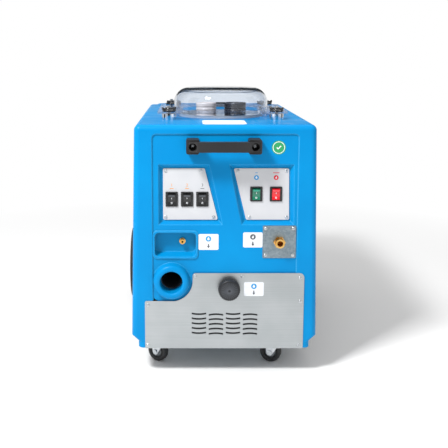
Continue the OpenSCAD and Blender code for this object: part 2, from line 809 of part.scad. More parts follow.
module water_nipple() {
  color([0.80, 0.60, 0.30]) difference() {
    union() {
      rod_y(nipple_x, nipple_z, nipple_r, water_floor_y - 4, water_floor_y);
      rod_y(nipple_x, nipple_z, nipple_r - 1.5, water_floor_y - nipple_proud, water_floor_y - 3);
      rod_y(nipple_x, nipple_z, 4, water_floor_y - 1, water_floor_y + 18);
      hexagon_y(nipple_x, nipple_z, nipple_r + 1.5, water_floor_y + 4, 5);
    }
    rod_y(nipple_x, nipple_z, nipple_bore_r, water_floor_y - 40, water_floor_y + 40);
  }
}

// ---- Handles ----

// Bridge handle reaching to -Y, whose feet start the given depth behind the plane y = 0
module bridge_handle(foot_d) {
  half = handle_span / 2;
  grip_half = half - handle_block_w;
  grip_back = handle_bar_t - handle_reach;
  difference() {
    union() {
      for (sx = [-1, 1])
        upright_at(sx * handle_screw_x, foot_d, handle_face_reach + foot_d)
          polygon(rounded(box_points(0, 0, handle_block_w / 2, handle_block_h / 2), 4));
      // Grip bar with sloping ends, drawn in X and Y
      translate([0, 0, -handle_bar_h / 2]) linear_extrude(handle_bar_h) polygon(concat(
        corner([half - 4, -6], [half - 4, -handle_face_reach - 1], [half - 22, -handle_reach], 3, 4),
        corner([half - 4, -handle_face_reach], [half - 22, -handle_reach], [0, -handle_reach], 14, 6),
        corner([0, -handle_reach], [22 - half, -handle_reach], [4 - half, -handle_face_reach], 14, 6),
        corner([22 - half, -handle_reach], [4 - half, -handle_face_reach - 1], [4 - half, -6], 3, 4),
        [[4 - half, -6], [-grip_half, -6]],
        corner([-grip_half, -6], [-grip_half, grip_back], [0, grip_back], 6, 5),
        corner([0, grip_back], [grip_half, grip_back], [grip_half, -6], 6, 5),
        [[grip_half, -6], [half - 4, -6]]));
    }
    for (sx = [-1, 1]) {
      rod_y(sx * handle_screw_x, 0, handle_screw_r + seat_gap, -handle_reach - 9, 9);
      rod_y(sx * handle_screw_x, 0, handle_counterbore_r, -handle_reach - 9, -handle_seat_reach);
    }
  }
}

module front_handle() {
  color([0.13, 0.13, 0.14]) translate([handle_x, front_y, handle_z]) bridge_handle(front_recess_d);
}

module rear_handle() {
  color([0.13, 0.13, 0.14]) translate([0, cover_y, rear_handle_z]) rotate([0, 0, 180]) bridge_handle(0);
}

// Button-head screw with its seat at the counterbore's floor and a nut on its end
module handle_screw(grip) {
  rod_y(0, 0, handle_head_r, -handle_seat_reach - handle_head_t, -handle_seat_reach);
  rod_y(0, 0, handle_screw_r, -handle_seat_reach - 1, grip + 8);
  hexagon_y(0, 0, handle_head_r, grip + 0.2, 5);
}

module handle_screws() {
  color([0.78, 0.79, 0.80]) for (sx = [-1, 1]) {
    translate([handle_x + sx * handle_screw_x, front_y, handle_z]) handle_screw(shell_wall);
    translate([sx * handle_screw_x, cover_y, rear_handle_z]) rotate([0, 0, 180]) handle_screw(cover_wall);
  }
}

// ---- Vacuum path ----

module vacuum_inlet_duct() {
  start_y = port_inner_y + 0.3;
  bend_z = port_z + bend_r;
  turn_y = dome_y - bend_r;
  color([0.25, 0.26, 0.28]) {
    difference() {
      rod_y(port_axis_x, port_z, duct_r, start_y, turn_y);
      rod_y(port_axis_x, port_z, duct_in_r, start_y - 1, turn_y + 1);
    }
    translate([port_axis_x + bend_r, turn_y, port_z]) rotate([0, 0, 90]) bend(bend_r, duct_r, duct_in_r);
    difference() {
      rod_x(port_axis_x + bend_r, -pipe_dx - bend_r, dome_y, port_z, duct_r);
      rod_x(port_axis_x + bend_r - 1, -pipe_dx - bend_r + 1, dome_y, port_z, duct_in_r);
    }
    translate([-pipe_dx - bend_r, dome_y, bend_z]) rotate([90, 0, 0]) mirror([0, 1, 0])
      bend(bend_r, duct_r, duct_in_r);
    translate([-pipe_dx, dome_y, bend_z]) ring(duct_in_r, duct_r, tank_low_z - bend_z - 0.3);
  }
}

module recovery_tank() {
  color([0.86, 0.90, 0.92]) translate([0, dome_y, 0]) difference() {
    union() {
      translate([0, 0, tank_low_z]) linear_extrude(top_in_z - 0.3 - tank_low_z)
        polygon(rounded(box_points(0, 0, tank_half, tank_half), 40, 10));
      cylinder(r = tank_collar_r, h = tank_rim_z);
    }
    translate([0, 0, -1]) cylinder(r = tank_collar_r + 1, h = tank_low_z + 1);
    translate([0, 0, tank_low_z + tank_wall]) linear_extrude(top_in_z - tank_low_z - 2 * tank_wall)
      polygon(rounded(box_points(0, 0, tank_half - tank_wall, tank_half - tank_wall), 36, 10));
    translate([0, 0, top_in_z - tank_wall - 5]) cylinder(r = tank_mouth_r, h = 60);
    for (sx = [-1, 1]) translate([sx * pipe_dx, 0, tank_low_z - 1]) cylinder(r = pipe_r + seat_gap, h = 20);
  }
}

module lid_gasket() {
  color([0.10, 0.10, 0.11]) translate([0, dome_y, tank_rim_z])
    ring(tank_mouth_r + 0.5, tank_collar_r - 0.5, gasket_t - 0.3);
}

module standpipes() {
  color([0.92, 0.93, 0.92]) for (sx = [-1, 1])
    translate([sx * pipe_dx, dome_y, tank_low_z]) ring(pipe_r - pipe_wall, pipe_r, pipe_top_z - tank_low_z);
}

// Push-on cap of radius r whose hollow reaches over a pipe's end
module pipe_cap(r) {
  difference() {
    translate([0, 0, pipe_top_z - pipe_cap_skirt]) cylinder(r = r, h = pipe_cap_h);
    translate([0, 0, pipe_top_z - pipe_cap_skirt - 1])
      cylinder(r = pipe_r + seat_gap, h = pipe_cap_skirt + 1);
    translate([0, 0, pipe_top_z - 0.5]) cylinder(r = pipe_r - pipe_wall, h = pipe_cap_h - pipe_cap_skirt - 3);
  }
}

// Cap over the inlet pipe, with three legs so that the air can leave under it
module inlet_cap() {
  color([0.90, 0.91, 0.92]) translate([-pipe_dx, dome_y, 0]) difference() {
    pipe_cap(pipe_r + 1.5);
    for (a = [0:120:240]) rotate([0, 0, a]) translate([0, -9, pipe_top_z + 3]) cube([40, 18, 15]);
  }
}

// Ribbed cage over the suction pipe
module float_cage() {
  slot_z = pipe_top_z + 3;
  skirt_low_z = pipe_top_z - pipe_cap_skirt;
  color([0.08, 0.08, 0.09]) translate([pipe_dx, dome_y, 0]) difference() {
    pipe_cap(cage_r);
    for (a = [0:30:330]) rotate([0, 0, a + 15]) translate([pipe_r - 6, -2.5, slot_z]) cube([12, 5, 14]);
    for (rise = [cage_ring_gap:cage_ring_gap:pipe_cap_h - 3])
      translate([0, 0, skirt_low_z + rise]) ring(cage_r - 1.2, cage_r + 1, 1.8);
  }
}

// Foam ring that the dirty water lifts along the suction pipe until it covers the cage's slots
module float_ring() {
  color([0.95, 0.55, 0.10]) translate([pipe_dx, dome_y, tank_low_z + tank_wall + 0.2])
    ring(cage_r + 0.5, cage_r + 10, 22);
}

module suction_duct() {
  bend_z = tank_low_z - bend_r - 4;
  duct_in = pipe_r - 1;
  duct_out = pipe_r + 1.5;
  color([0.25, 0.26, 0.28]) {
    translate([pipe_dx, dome_y, bend_z + bend_r]) difference() {
      cylinder(r = duct_out, h = 3.7);
      translate([0, 0, -1]) cylinder(r = duct_in, h = 9);
    }
    translate([pipe_dx, dome_y + bend_r, bend_z + bend_r]) rotate([0, 0, 90]) rotate([90, 0, 0])
      mirror([0, 1, 0]) mirror([1, 0, 0]) bend(bend_r, duct_out, duct_in);
    difference() {
      rod_y(pipe_dx, bend_z, duct_out, dome_y + bend_r, motor_y - bend_r);
      rod_y(pipe_dx, bend_z, duct_in, dome_y + bend_r - 1, motor_y - bend_r + 1);
    }
    translate([pipe_dx, motor_y - bend_r, bend_z - bend_r]) rotate([0, 0, 90]) rotate([90, 0, 0])
      bend(bend_r, duct_out, duct_in);
    translate([pipe_dx, motor_y, motor_top_z + fan_h + 0.3]) difference() {
      cylinder(r = duct_out, h = bend_z - bend_r - motor_top_z - fan_h - 0.3);
      translate([0, 0, -1]) cylinder(r = duct_in, h = 90);
    }
  }
}

// ---- Vacuum motor ----

module vacuum_motor() {
  color([0.20, 0.21, 0.22]) translate([motor_x, motor_y, 0]) difference() {
    union() {
      translate([0, 0, plate_top_z + 0.2]) cylinder(r = motor_r - 8, h = motor_top_z - plate_top_z - 0.2);
      translate([0, 0, plate_top_z + 0.2]) cylinder(r = motor_r, h = 6);
      translate([0, 0, motor_top_z - 8]) cylinder(r = motor_r, h = 8);
    }
    translate([0, 0, plate_top_z + 20]) cylinder(r = shaft_r + running_fit, h = 200);
    for (a = [0:30:330]) rotate([0, 0, a]) translate([motor_r - 12, -4, plate_top_z + 20]) cube([20, 8, 50]);
  }
}

module fan_casing() {
  color([0.70, 0.72, 0.73]) translate([motor_x, motor_y, motor_top_z]) difference() {
    union() {
      cylinder(r = fan_r, h = fan_h);
      translate([fan_r - 40, -14, 6]) cube([62, 28, fan_h - 12]);
    }
    translate([0, 0, fan_wall]) cylinder(r = fan_r - fan_wall, h = fan_h - 2 * fan_wall);
    translate([0, 0, -1]) cylinder(r = shaft_r + 2, h = 9);
    translate([0, 0, fan_h - 9]) cylinder(r = eye_r, h = 20);
    translate([fan_r - 40, -11, 9]) cube([70, 22, fan_h - 18]);
  }
}

module impeller() {
  disc_r = fan_r - fan_wall - 4;
  low_z = motor_top_z + fan_wall + 3;
  color([0.78, 0.80, 0.82]) translate([motor_x, motor_y, 0]) {
    translate([0, 0, plate_top_z + 24]) cylinder(r = shaft_r, h = low_z + 20 - plate_top_z - 24);
    translate([0, 0, low_z]) cylinder(r = disc_r, h = 2);
    translate([0, 0, low_z]) cylinder(r = 12, h = 22);
    for (a = [0:40:320]) rotate([0, 0, a]) translate([10, -1, low_z + 1]) cube([disc_r - 12, 2, 22]);
  }
}

// ---- Water pump, hoses and tank ----

module water_pump() {
  outlet_y = pump_y0 + pump_len - 20;
  color([0.30, 0.31, 0.33]) {
    difference() {
      union() {
        translate([pump_x0, pump_y0, plate_top_z + 0.2]) cube([pump_w, pump_len, pump_h - 12]);
        rod_y(pump_x0 + pump_w / 2, plate_top_z + pump_h - 34, 26, pump_y0 + 6, pump_y0 + pump_len - 6);
        translate([delivery_x, outlet_y, plate_top_z + 20]) cylinder(r = 8, h = pump_h - 18);
        rod_y(supply_x, supply_z, 8, outlet_y, pump_y0 + pump_len + 6);
        translate([supply_x - 8, outlet_y, plate_top_z + 10]) cube([16, 14, supply_z - plate_top_z - 12]);
      }
      translate([delivery_x, outlet_y, plate_top_z + pump_h - 10]) cylinder(r = hose_r + seat_gap, h = 40);
      rod_y(supply_x, supply_z, hose_r + seat_gap, pump_y0 + pump_len - 4, pump_y0 + pump_len + 40);
    }
  }
}

module water_hoses() {
  start_z = plate_top_z + pump_h - 9.7;
  run_y = pump_y0 + pump_len - 20;
  end_y = water_floor_y + 18.2;
  color([0.16, 0.16, 0.17]) {
    // Delivery hose from the pump up to the nipple
    translate([delivery_x, run_y, start_z]) cylinder(r = hose_r, h = nipple_z - hose_bend_r - start_z);
    translate([delivery_x - hose_bend_r, run_y, nipple_z - hose_bend_r]) rotate([90, 0, 0])
      bend(hose_bend_r, hose_r);
    translate([delivery_x - hose_bend_r, run_y - hose_bend_r, nipple_z]) rotate([0, 0, 90])
      bend(hose_bend_r, hose_r);
    rod_y(nipple_x, nipple_z, hose_r, end_y, run_y - hose_bend_r);
    // Supply hose from the solution tank to the pump
    rod_y(supply_x, supply_z, hose_r, pump_y0 + pump_len - 3.7, solution_y0 - 0.3);
  }
}

module solution_tank() {
  mid_y = (solution_y0 + solution_back_y) / 2;
  half_y = (solution_back_y - solution_y0) / 2;
  upper_z = tank_low_z + 30;
  color([0.88, 0.92, 0.94]) difference() {
    union() {
      translate([0, 0, solution_low_z]) linear_extrude(upper_z - solution_low_z)
        polygon(rounded(box_points(0, mid_y, solution_half_w, half_y), 20, 8));
      // Filler throat up to the body's top
      translate([fill_x, fill_y, upper_z - 5]) cylinder(r = fill_r - 3, h = body_top_z - upper_z + 5);
      for (sx = [-1, 1]) translate([sx * (solution_half_w - 30) - 12, mid_y - 20, plate_top_z + 0.2])
        cube([24, 40, solution_low_z - plate_top_z + 3]);
    }
    translate([0, 0, solution_low_z + tank_wall]) linear_extrude(upper_z - solution_low_z - 2 * tank_wall)
      polygon(rounded(box_points(0, mid_y, solution_half_w - tank_wall, half_y - tank_wall), 16, 8));
    translate([fill_x, fill_y, upper_z - 20]) cylinder(r = fill_r - 7, h = 400);
    rod_x(-300, 300, axle_y, axle_z, axle_r + 6);
    rod_y(drain_x, drain_z, drain_r - 2 + seat_gap, solution_back_y - 9, solution_back_y + 9);
  }
}

// Quarter-turn cap that closes the solution tank at the body's top
module solution_cap() {
  color([0.08, 0.08, 0.09]) translate([fill_x, fill_y, 0]) {
    translate([0, 0, body_top_z + 0.3]) cylinder(r = fill_r + 6, h = 5);
    translate([0, 0, body_top_z - 12]) cylinder(r = fill_r - 7 - running_fit, h = 13);
    translate([-fill_r, -3.5, body_top_z + 5]) cube([2 * fill_r, 7, 7]);
  }
}

// ---- Steam generator ----

module boiler() {
  color([0.75, 0.77, 0.78]) {
    difference() {
      union() {
        rod_y(boiler_x, boiler_z, boiler_r, boiler_front_y, boiler_front_y + boiler_len);
        // Boss of the steam outlet
        translate([steam_x, steam_run_y, boiler_z])
          cylinder(r = steam_pipe_r + 4, h = steam_boss_z - boiler_z);
        // Saddles on the base plate
        for (y = [boiler_front_y + 20, boiler_back_y - 20 - saddle_t])
          translate([boiler_x - saddle_w / 2, y, plate_top_z + 0.2])
            cube([saddle_w, saddle_t, boiler_z - boiler_r + saddle_rise - plate_top_z]);
      }
      rod_y(boiler_x, boiler_z, boiler_r - boiler_wall,
        boiler_front_y + boiler_wall, boiler_back_y - boiler_wall);
      rod_y(filler_x, filler_z, neck_r - neck_wall, boiler_front_y - 9, boiler_front_y + 9);
      translate([steam_x, steam_run_y, boiler_z]) cylinder(r = steam_pipe_r - 1, h = 300);
      rod_y(boiler_x, heater_z, heater_r + seat_gap, boiler_back_y - 9, boiler_back_y + 9);
    }
  }
}

// Immersion heater screwed into the boiler's back
module boiler_heater() {
  color([0.55, 0.45, 0.35]) {
    rod_y(boiler_x, heater_z, heater_r, boiler_back_y - 8, boiler_back_y + 3);
    hexagon_y(boiler_x, heater_z, heater_r + 4, boiler_back_y + 0.3, 12);
    for (sx = [-1, 1])
      rod_y(boiler_x + sx * heater_r / 2, heater_z, 4, boiler_front_y + 40, boiler_back_y - 4);
  }
}

module steam_pipe() {
  low_z = steam_boss_z + 0.3;
  color([0.72, 0.45, 0.25]) {
    rod_y(steam_x, steam_z, steam_pipe_r, face_y + fitting_tail + 0.3, steam_run_y - steam_bend_r);
    translate([steam_x, steam_run_y - steam_bend_r, steam_z - steam_bend_r])
      rotate([0, 0, 90]) rotate([90, 0, 0]) bend(steam_bend_r, steam_pipe_r);
    translate([steam_x, steam_run_y, low_z]) cylinder(r = steam_pipe_r, h = steam_z - steam_bend_r - low_z);
  }
}

module filler_neck() {
  color([0.10, 0.10, 0.11]) difference() {
    union() {
      rod_y(filler_x, filler_z, filler_flange_r, cap_rim_y, front_y - sheet_t);
      rod_y(filler_x, filler_z, neck_r, neck_end_y, boiler_front_y - 0.3);
    }
    rod_y(filler_x, filler_z, neck_r - neck_wall, cap_rim_y - 40, boiler_front_y + 1);
  }
}

// Washer that stays in the cap and seals on the neck's end
module filler_gasket() {
  color([0.45, 0.12, 0.10]) difference() {
    rod_y(filler_x, filler_z, neck_r, neck_end_y - 2, neck_end_y - 0.1);
    rod_y(filler_x, filler_z, neck_r - neck_wall - 1, neck_end_y - 9, neck_end_y + 9);
  }
}

module filler_cap() {
  open_y = cap_rim_y - 0.3;
  face = cap_rim_y - cap_h;
  color([0.09, 0.09, 0.10]) difference() {
    union() {
      rod_y(filler_x, filler_z, cap_r - 1, face + 3, open_y);
      translate([filler_x, face + 3, filler_z]) rotate([90, 0, 0])
        cylinder(r1 = cap_r - 1, r2 = cap_r - 5, h = 3);
      // Grip ribs round the rim
      for (a = [0:15:345]) translate([filler_x, 0, filler_z]) rotate([0, a, 0])
        translate([cap_r - 3, face + 3, -1.2]) cube([3, open_y - face - 3, 2.4]);
      // Radial ribs on the face
      for (a = [0:30:330]) translate([filler_x, 0, filler_z]) rotate([0, a, 0])
        translate([5, face - 1.5, -1]) cube([cap_r - 11, 3, 2]);
      rod_y(filler_x, filler_z, 6, face - 1.5, face + 1);
    }
    rod_y(filler_x, filler_z, neck_r + 0.3, neck_end_y - 2.1, cap_rim_y + 1);
  }
}

// ---- Clear lid and its knobs ----

module lid() {
  crown_z = body_top_z + dome_h;
  side_z = crown_z - dome_blend_r - 2;
  blend_x = dome_r - dome_blend_r;
  inner_blend = dome_blend_r - lid_wall;
  flange_low_z = flange_top_z - lid_wall;
  skirt_low_z = body_top_z + 0.5;
  color([0.75, 0.85, 0.92, 0.45]) translate([0, dome_y, 0]) {
    difference() {
      union() {
        translate([0, 0, flange_low_z]) linear_extrude(lid_wall)
          polygon(rounded(box_points(0, 0, flange_edge_x, flange_edge_y), flange_corner_r, 8));
        rotate_extrude($fn = 96) polygon(concat(
          [[0, skirt_low_z], [dome_r, skirt_low_z], [dome_r, side_z]],
          [for (a = [9:9:81]) [blend_x + dome_blend_r * cos(a), side_z + dome_blend_r * sin(a)]],
          [[blend_x, side_z + dome_blend_r], [40, crown_z - 0.5], [0, crown_z]]));
      }
      rotate_extrude($fn = 96) polygon(concat(
        [[0, skirt_low_z - 1], [dome_r - lid_wall, skirt_low_z - 1], [dome_r - lid_wall, side_z]],
        [for (a = [9:9:81]) [blend_x + inner_blend * cos(a), side_z + inner_blend * sin(a)]],
        [[blend_x, side_z + inner_blend], [40, crown_z - 0.5 - lid_wall], [0, crown_z - lid_wall]]));
      for (sx = [-1, 1], sy = [-1, 1]) translate([sx * knob_dx, sy * knob_dy, flange_low_z - 1])
        cylinder(r = stud_r + 0.5, h = lid_wall + 2);
    }
    // Lip inside the skirt that lies on the gasket
    translate([0, 0, skirt_ring_z]) ring(tank_mouth_r + 1, dome_r - lid_wall + 0.5, 3);
  }
}

module at_studs() {
  for (sx = [-1, 1], sy = [-1, 1]) translate([sx * knob_dx, dome_y + sy * knob_dy, 0]) children();
}

module lid_studs() {
  color([0.72, 0.73, 0.75]) at_studs() {
    translate([0, 0, top_in_z - 9]) cylinder(r = stud_r, h = stud_top_z - top_in_z + 9);
    translate([0, 0, top_in_z - 5.2]) cylinder(r = 7.5, h = 5, $fn = 6);
  }
}

module stud_collars() {
  color([0.85, 0.86, 0.88]) at_studs() translate([0, 0, body_top_z])
    ring(stud_r + 0.3, collar_r, collar_h - 0.1);
}

// Wing knob with a round skirt, turned about its stud
module knob(sx, sy, turn) {
  color([0.07, 0.07, 0.08])
    translate([sx * knob_dx, dome_y + sy * knob_dy, flange_top_z + 0.1]) rotate([0, 0, turn]) difference() {
      union() {
        cylinder(r = knob_skirt_r, h = knob_skirt_h);
        translate([0, 0, knob_skirt_h - 0.01]) cylinder(r1 = knob_skirt_r - 1, r2 = knob_hub_r, h = 4);
        cylinder(r = knob_hub_r, h = knob_h);
        // Two wings
        translate([0, knob_wing_t / 2, 0]) rotate([90, 0, 0]) linear_extrude(knob_wing_t)
          polygon(rounded([[-knob_skirt_r, 2], [knob_skirt_r, 2], [knob_skirt_r + 1, knob_h + 1],
            [8, knob_h - 1], [-8, knob_h - 1], [-knob_skirt_r - 1, knob_h + 1]], 1.8, 4));
      }
      translate([0, 0, -1]) cylinder(r = stud_r + running_fit, h = knob_h + 9);
    }
}

module knob_front_left() { knob(-1, -1, 20); }
module knob_front_right() { knob(1, -1, -35); }
module knob_rear_left() { knob(-1, 1, 55); }
module knob_rear_right() { knob(1, 1, 10); }

// ---- Rear wheels ----

module rear_axle() {
  color([0.66, 0.68, 0.70]) {
    rod_x(-wheel_out_x + 3, wheel_out_x - 3, axle_y, axle_z, axle_r);
    rod_x(wheel_out_x - 5 - axle_cap_t, wheel_out_x - 5, axle_y, axle_z, axle_r + 6);
    rod_x(5 - wheel_out_x, 5 - wheel_out_x + axle_cap_t, axle_y, axle_z, axle_r + 6);
  }
}

// Hub of a rear wheel, with its face to +X
module hub() {
  cap_face = wheel_out_x - 5 - axle_cap_t;
  spoke_in = wheel_mid_x - 4;
  color([0.55, 0.56, 0.58]) translate([0, axle_y, axle_z]) difference() {
    union() {
      rod_x(wheel_in_x, cap_face - 0.3, 0, 0, 17);
      rod_x(spoke_in, spoke_in + 8, 0, 0, hub_r - 0.5);
      difference() {
        rod_x(wheel_in_x + 2, wheel_out_x - 2, 0, 0, hub_r);
        rod_x(wheel_in_x, wheel_out_x, 0, 0, hub_r - 6);
      }
    }
    rod_x(wheel_in_x - 9, wheel_out_x + 9, 0, 0, hub_bore_r);
    for (a = [0:60:300]) rotate([a, 0, 0]) rod_x(wheel_in_x, wheel_out_x, 40, 0, 13);
  }
}

module tyre() {
  bead = hub_r + 0.1;
  sw = rear_tyre_w / 2;
  shoulder = [[bead, sw - 3], [bead + 6, sw], [rear_wheel_r - 8, sw],
    [rear_wheel_r - 2, sw - 4], [rear_wheel_r, sw - 9]];
  color([0.09, 0.09, 0.09])
    translate([wheel_mid_x, axle_y, axle_z]) rotate([0, 90, 0]) rotate_extrude($fn = 96) polygon(concat(
      [for (p = shoulder) [p[0], -p[1]]], [for (i = [4:-1:0]) shoulder[i]]));
}

module right_hub() { hub(); }
module left_hub() { mirror([1, 0, 0]) hub(); }
module right_tyre() { tyre(); }
module left_tyre() { mirror([1, 0, 0]) tyre(); }

// ---- Front casters ----

module caster_plates() {
  color([0.72, 0.74, 0.76]) for (sx = [-1, 1]) translate([sx * caster_x, caster_y, 0]) {
    translate([0, 0, caster_plate_low_z]) linear_extrude(caster_plate_t - 0.1)
      polygon(rounded(box_points(0, 0, 30, 26), 4));
    // Kingpin with its rivet head under the fork
    translate([0, 0, fork_head_top_z - 8])
      cylinder(r = kingpin_r, h = caster_plate_low_z - fork_head_top_z + 9);
    translate([0, 0, caster_plate_low_z - 4]) cylinder(r = fork_head_r - 3, h = 4.1);
    translate([0, 0, fork_head_top_z - 8]) cylinder(r = kingpin_r + 3, h = 2.5);
  }
}

// Fork at its swivel axis, trailing towards +X
module caster_fork() {
  head_low_z = fork_head_top_z - 5;
  color([0.80, 0.82, 0.83]) difference() {
    union() {
      translate([0, 0, head_low_z]) cylinder(r = fork_head_r, h = fork_head_top_z - head_low_z);
      for (sy = [-1, 1]) upright(sy * (fork_in + fork_t / 2) + fork_t / 2, fork_t)
        polygon(concat(
          [[-fork_head_r + 6, fork_head_top_z - 0.5]],
          [for (a = [200:20:340]) [caster_trail + 7 * cos(a), caster_r + 7 * sin(a)]],
          [[caster_trail + 10, fork_head_top_z - 14], [fork_head_r - 4, fork_head_top_z - 0.5]]));
      translate([-4, -fork_in - fork_t, head_low_z]) cube([20, 2 * (fork_in + fork_t), 2]);
      // Axle bolt of the wheel
      translate([caster_trail, fork_in + fork_t + 2, caster_r]) rotate([90, 0, 0])
        cylinder(r = wheel_pin_r, h = 2 * (fork_in + fork_t + 2));
      for (sy = [-1, 1])
        translate([caster_trail, sy * (fork_in + fork_t + 1) + 1, caster_r]) rotate([90, 0, 0])
          cylinder(r = 5, h = 2);
    }
    translate([0, 0, head_low_z - 3]) cylinder(r = kingpin_r + running_fit, h = 20);
    translate([0, 0, head_low_z - 9]) cylinder(r = kingpin_r + 3.5, h = 8.7);
  }
}

module caster_wheel() {
  bore_r = wheel_pin_r + running_fit;
  color([0.30, 0.31, 0.33])
    translate([caster_trail, caster_w / 2, caster_r]) rotate([90, 0, 0]) rotate_extrude() polygon([
      [bore_r, 0], [8, 0], [9, 3], [15, 3], [17, 0.5], [caster_r - 2, 0.5], [caster_r, 3],
      [caster_r, caster_w - 3], [caster_r - 2, caster_w - 0.5], [17, caster_w - 0.5],
      [15, caster_w - 3], [9, caster_w - 3], [8, caster_w], [bore_r, caster_w]]);
}

module place_caster(sx, turn) {
  translate([sx * caster_x, caster_y, 0]) rotate([0, 0, turn]) children();
}

module left_caster_fork() { place_caster(-1, left_caster_turn) caster_fork(); }
module right_caster_fork() { place_caster(1, right_caster_turn) caster_fork(); }
module left_caster_wheel() { place_caster(-1, left_caster_turn) caster_wheel(); }
module right_caster_wheel() { place_caster(1, right_caster_turn) caster_wheel(); }

// ---- Rear fittings ----

module cord_gland() {
  color([0.08, 0.08, 0.09]) difference() {
    union() {
      rod_y(gland_x, gland_z, gland_r, cover_y - 14, cover_y + 1);
      hexagon_y(gland_x, gland_z, gland_r + 4, cover_y, 6);
      rod_y(gland_x, gland_z, gland_r, cover_y + 5, cover_y + 18);
      hexagon_y(gland_x, gland_z, gland_r + 4, cover_y - cover_wall - 5, 5);
    }
    rod_y(gland_x, gland_z, gland_bore_r, cover_y - 30, cover_y + 40);
  }
}

// Ball valve that empties the solution tank through the rear window
module drain_valve() {
  color([0.74, 0.60, 0.32]) difference() {
    union() {
      rod_y(drain_x, drain_z, drain_r, cover_y - 16, cover_y + 10);
      rod_y(drain_x, drain_z, drain_r - 2, solution_back_y - tank_wall + 0.5, cover_y - 15);
      hexagon_y(drain_x, drain_z, drain_r + 5, cover_y - cover_wall - 5, 5);
      hexagon_y(drain_x, drain_z, drain_r + 5, cover_y, 6);
      rod_y(drain_x, drain_z, drain_r - 2, cover_y + 9, cover_y + handle_reach);
      translate([drain_x, lever_y, drain_z]) cylinder(r = lever_pin_r + 3, h = drain_r + 2);
      translate([drain_x, lever_y, drain_z]) cylinder(r = lever_pin_r, h = drain_r + 8);
    }
    rod_y(drain_x, drain_z, drain_bore_r, solution_back_y - 20, cover_y + 60);
  }
}

// Lever across the valve when it is shut
module drain_lever() {
  low_z = drain_z + drain_r + 2.3;
  color([0.75, 0.10, 0.08]) translate([drain_x, lever_y, low_z]) difference() {
    union() {
      cylinder(r = lever_pin_r + 3, h = 4);
      translate([0, -4, 0]) cube([lever_len, 8, 4]);
      translate([lever_len, 0, 0]) cylinder(r = 4, h = 4);
    }
    translate([0, 0, -1]) cylinder(r = lever_pin_r + running_fit, h = 9);
  }
}

// ---- Nodes ----

body_shell();
rear_cover();
base_plate();
front_panel();
panel_screws();
left_control_panel();
right_control_panel();
switch_housings();
left_rocker_1();
left_rocker_2();
left_rocker_3();
green_rocker();
red_rocker();
steam_plate();
steam_fitting();
water_nipple();
front_handle();
rear_handle();
handle_screws();
vacuum_inlet_duct();
recovery_tank();
lid_gasket();
standpipes();
inlet_cap();
float_cage();
float_ring();
lid();
lid_studs();
stud_collars();
knob_front_left();
knob_front_right();
knob_rear_left();
knob_rear_right();
filler_neck();
filler_gasket();
filler_cap();
boiler();
boiler_heater();
steam_pipe();
suction_duct();
vacuum_motor();
fan_casing();
impeller();
water_pump();
water_hoses();
solution_tank();
solution_cap();
rear_axle();
left_hub();
right_hub();
left_tyre();
right_tyre();
caster_plates();
left_caster_fork();
right_caster_fork();
left_caster_wheel();
right_caster_wheel();
cord_gland();
drain_valve();
drain_lever();
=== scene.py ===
import json
import math

import bmesh
import bpy
from mathutils import Matrix, Vector


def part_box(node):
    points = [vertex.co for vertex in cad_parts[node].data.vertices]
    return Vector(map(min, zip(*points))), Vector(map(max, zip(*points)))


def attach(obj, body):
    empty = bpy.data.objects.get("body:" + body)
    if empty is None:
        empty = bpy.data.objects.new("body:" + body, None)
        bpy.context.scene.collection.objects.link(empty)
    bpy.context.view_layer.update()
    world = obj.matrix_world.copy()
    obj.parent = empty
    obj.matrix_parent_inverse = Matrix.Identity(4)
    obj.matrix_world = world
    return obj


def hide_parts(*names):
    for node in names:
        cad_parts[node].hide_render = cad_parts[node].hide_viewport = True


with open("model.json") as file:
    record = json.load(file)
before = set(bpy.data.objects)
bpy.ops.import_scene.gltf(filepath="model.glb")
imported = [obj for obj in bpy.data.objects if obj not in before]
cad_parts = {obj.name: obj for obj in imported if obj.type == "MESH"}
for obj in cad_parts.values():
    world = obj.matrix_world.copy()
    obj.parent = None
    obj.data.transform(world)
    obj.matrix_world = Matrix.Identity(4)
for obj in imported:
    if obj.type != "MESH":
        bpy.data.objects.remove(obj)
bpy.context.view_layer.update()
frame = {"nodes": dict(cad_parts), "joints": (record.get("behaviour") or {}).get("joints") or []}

mm = 0.001
nodes = frame["nodes"]

# ---- Moulded body and rear cover ----
# One hollow polyethylene moulding holds everything, and a shallow cover of the same
# material closes its back. The mould leaves a soft gloss with a faint orange peel, and
# its edges are painted paler as a painted highlight.


def linear(code):
    """An sRGB hex colour in linear light."""
    channels = [int(code[i:i + 2], 16) / 255 for i in (1, 3, 5)]
    return [c / 12.92 if c <= 0.04045 else ((c + 0.055) / 1.055) ** 2.4 for c in channels] + [1.0]


def add(tree, kind, inputs=None, **settings):
    """Adds a node; inputs maps a socket's name or number to a value or to another node's output."""
    made = tree.nodes.new(kind)
    for name, value in settings.items():
        setattr(made, name, value)
    for socket, value in (inputs or {}).items():
        if isinstance(value, bpy.types.NodeSocket):
            tree.links.new(value, made.inputs[socket])
        else:
            made.inputs[socket].default_value = value
    return made


def start_finish(name, colour, roughness, metallic=0.0):
    """A material with its shader, and the place on the machine that its patterns read."""
    finish = bpy.data.materials.new(name)
    finish.use_nodes = True
    tree = finish.node_tree
    tree.nodes.clear()
    shader = add(tree, "ShaderNodeBsdfPrincipled", {
        "Base Color": linear(colour), "Roughness": roughness, "Metallic": metallic})
    add(tree, "ShaderNodeOutputMaterial", {"Surface": shader.outputs[0]})
    return finish, tree, shader, add(tree, "ShaderNodeTexCoord").outputs["Object"]


def blend_colours(tree, factor, low, high):
    """Colour that goes from low to high as factor goes from 0 to 1."""
    return add(tree, "ShaderNodeMix", {0: factor, 6: low, 7: high}, data_type="RGBA").outputs[2]


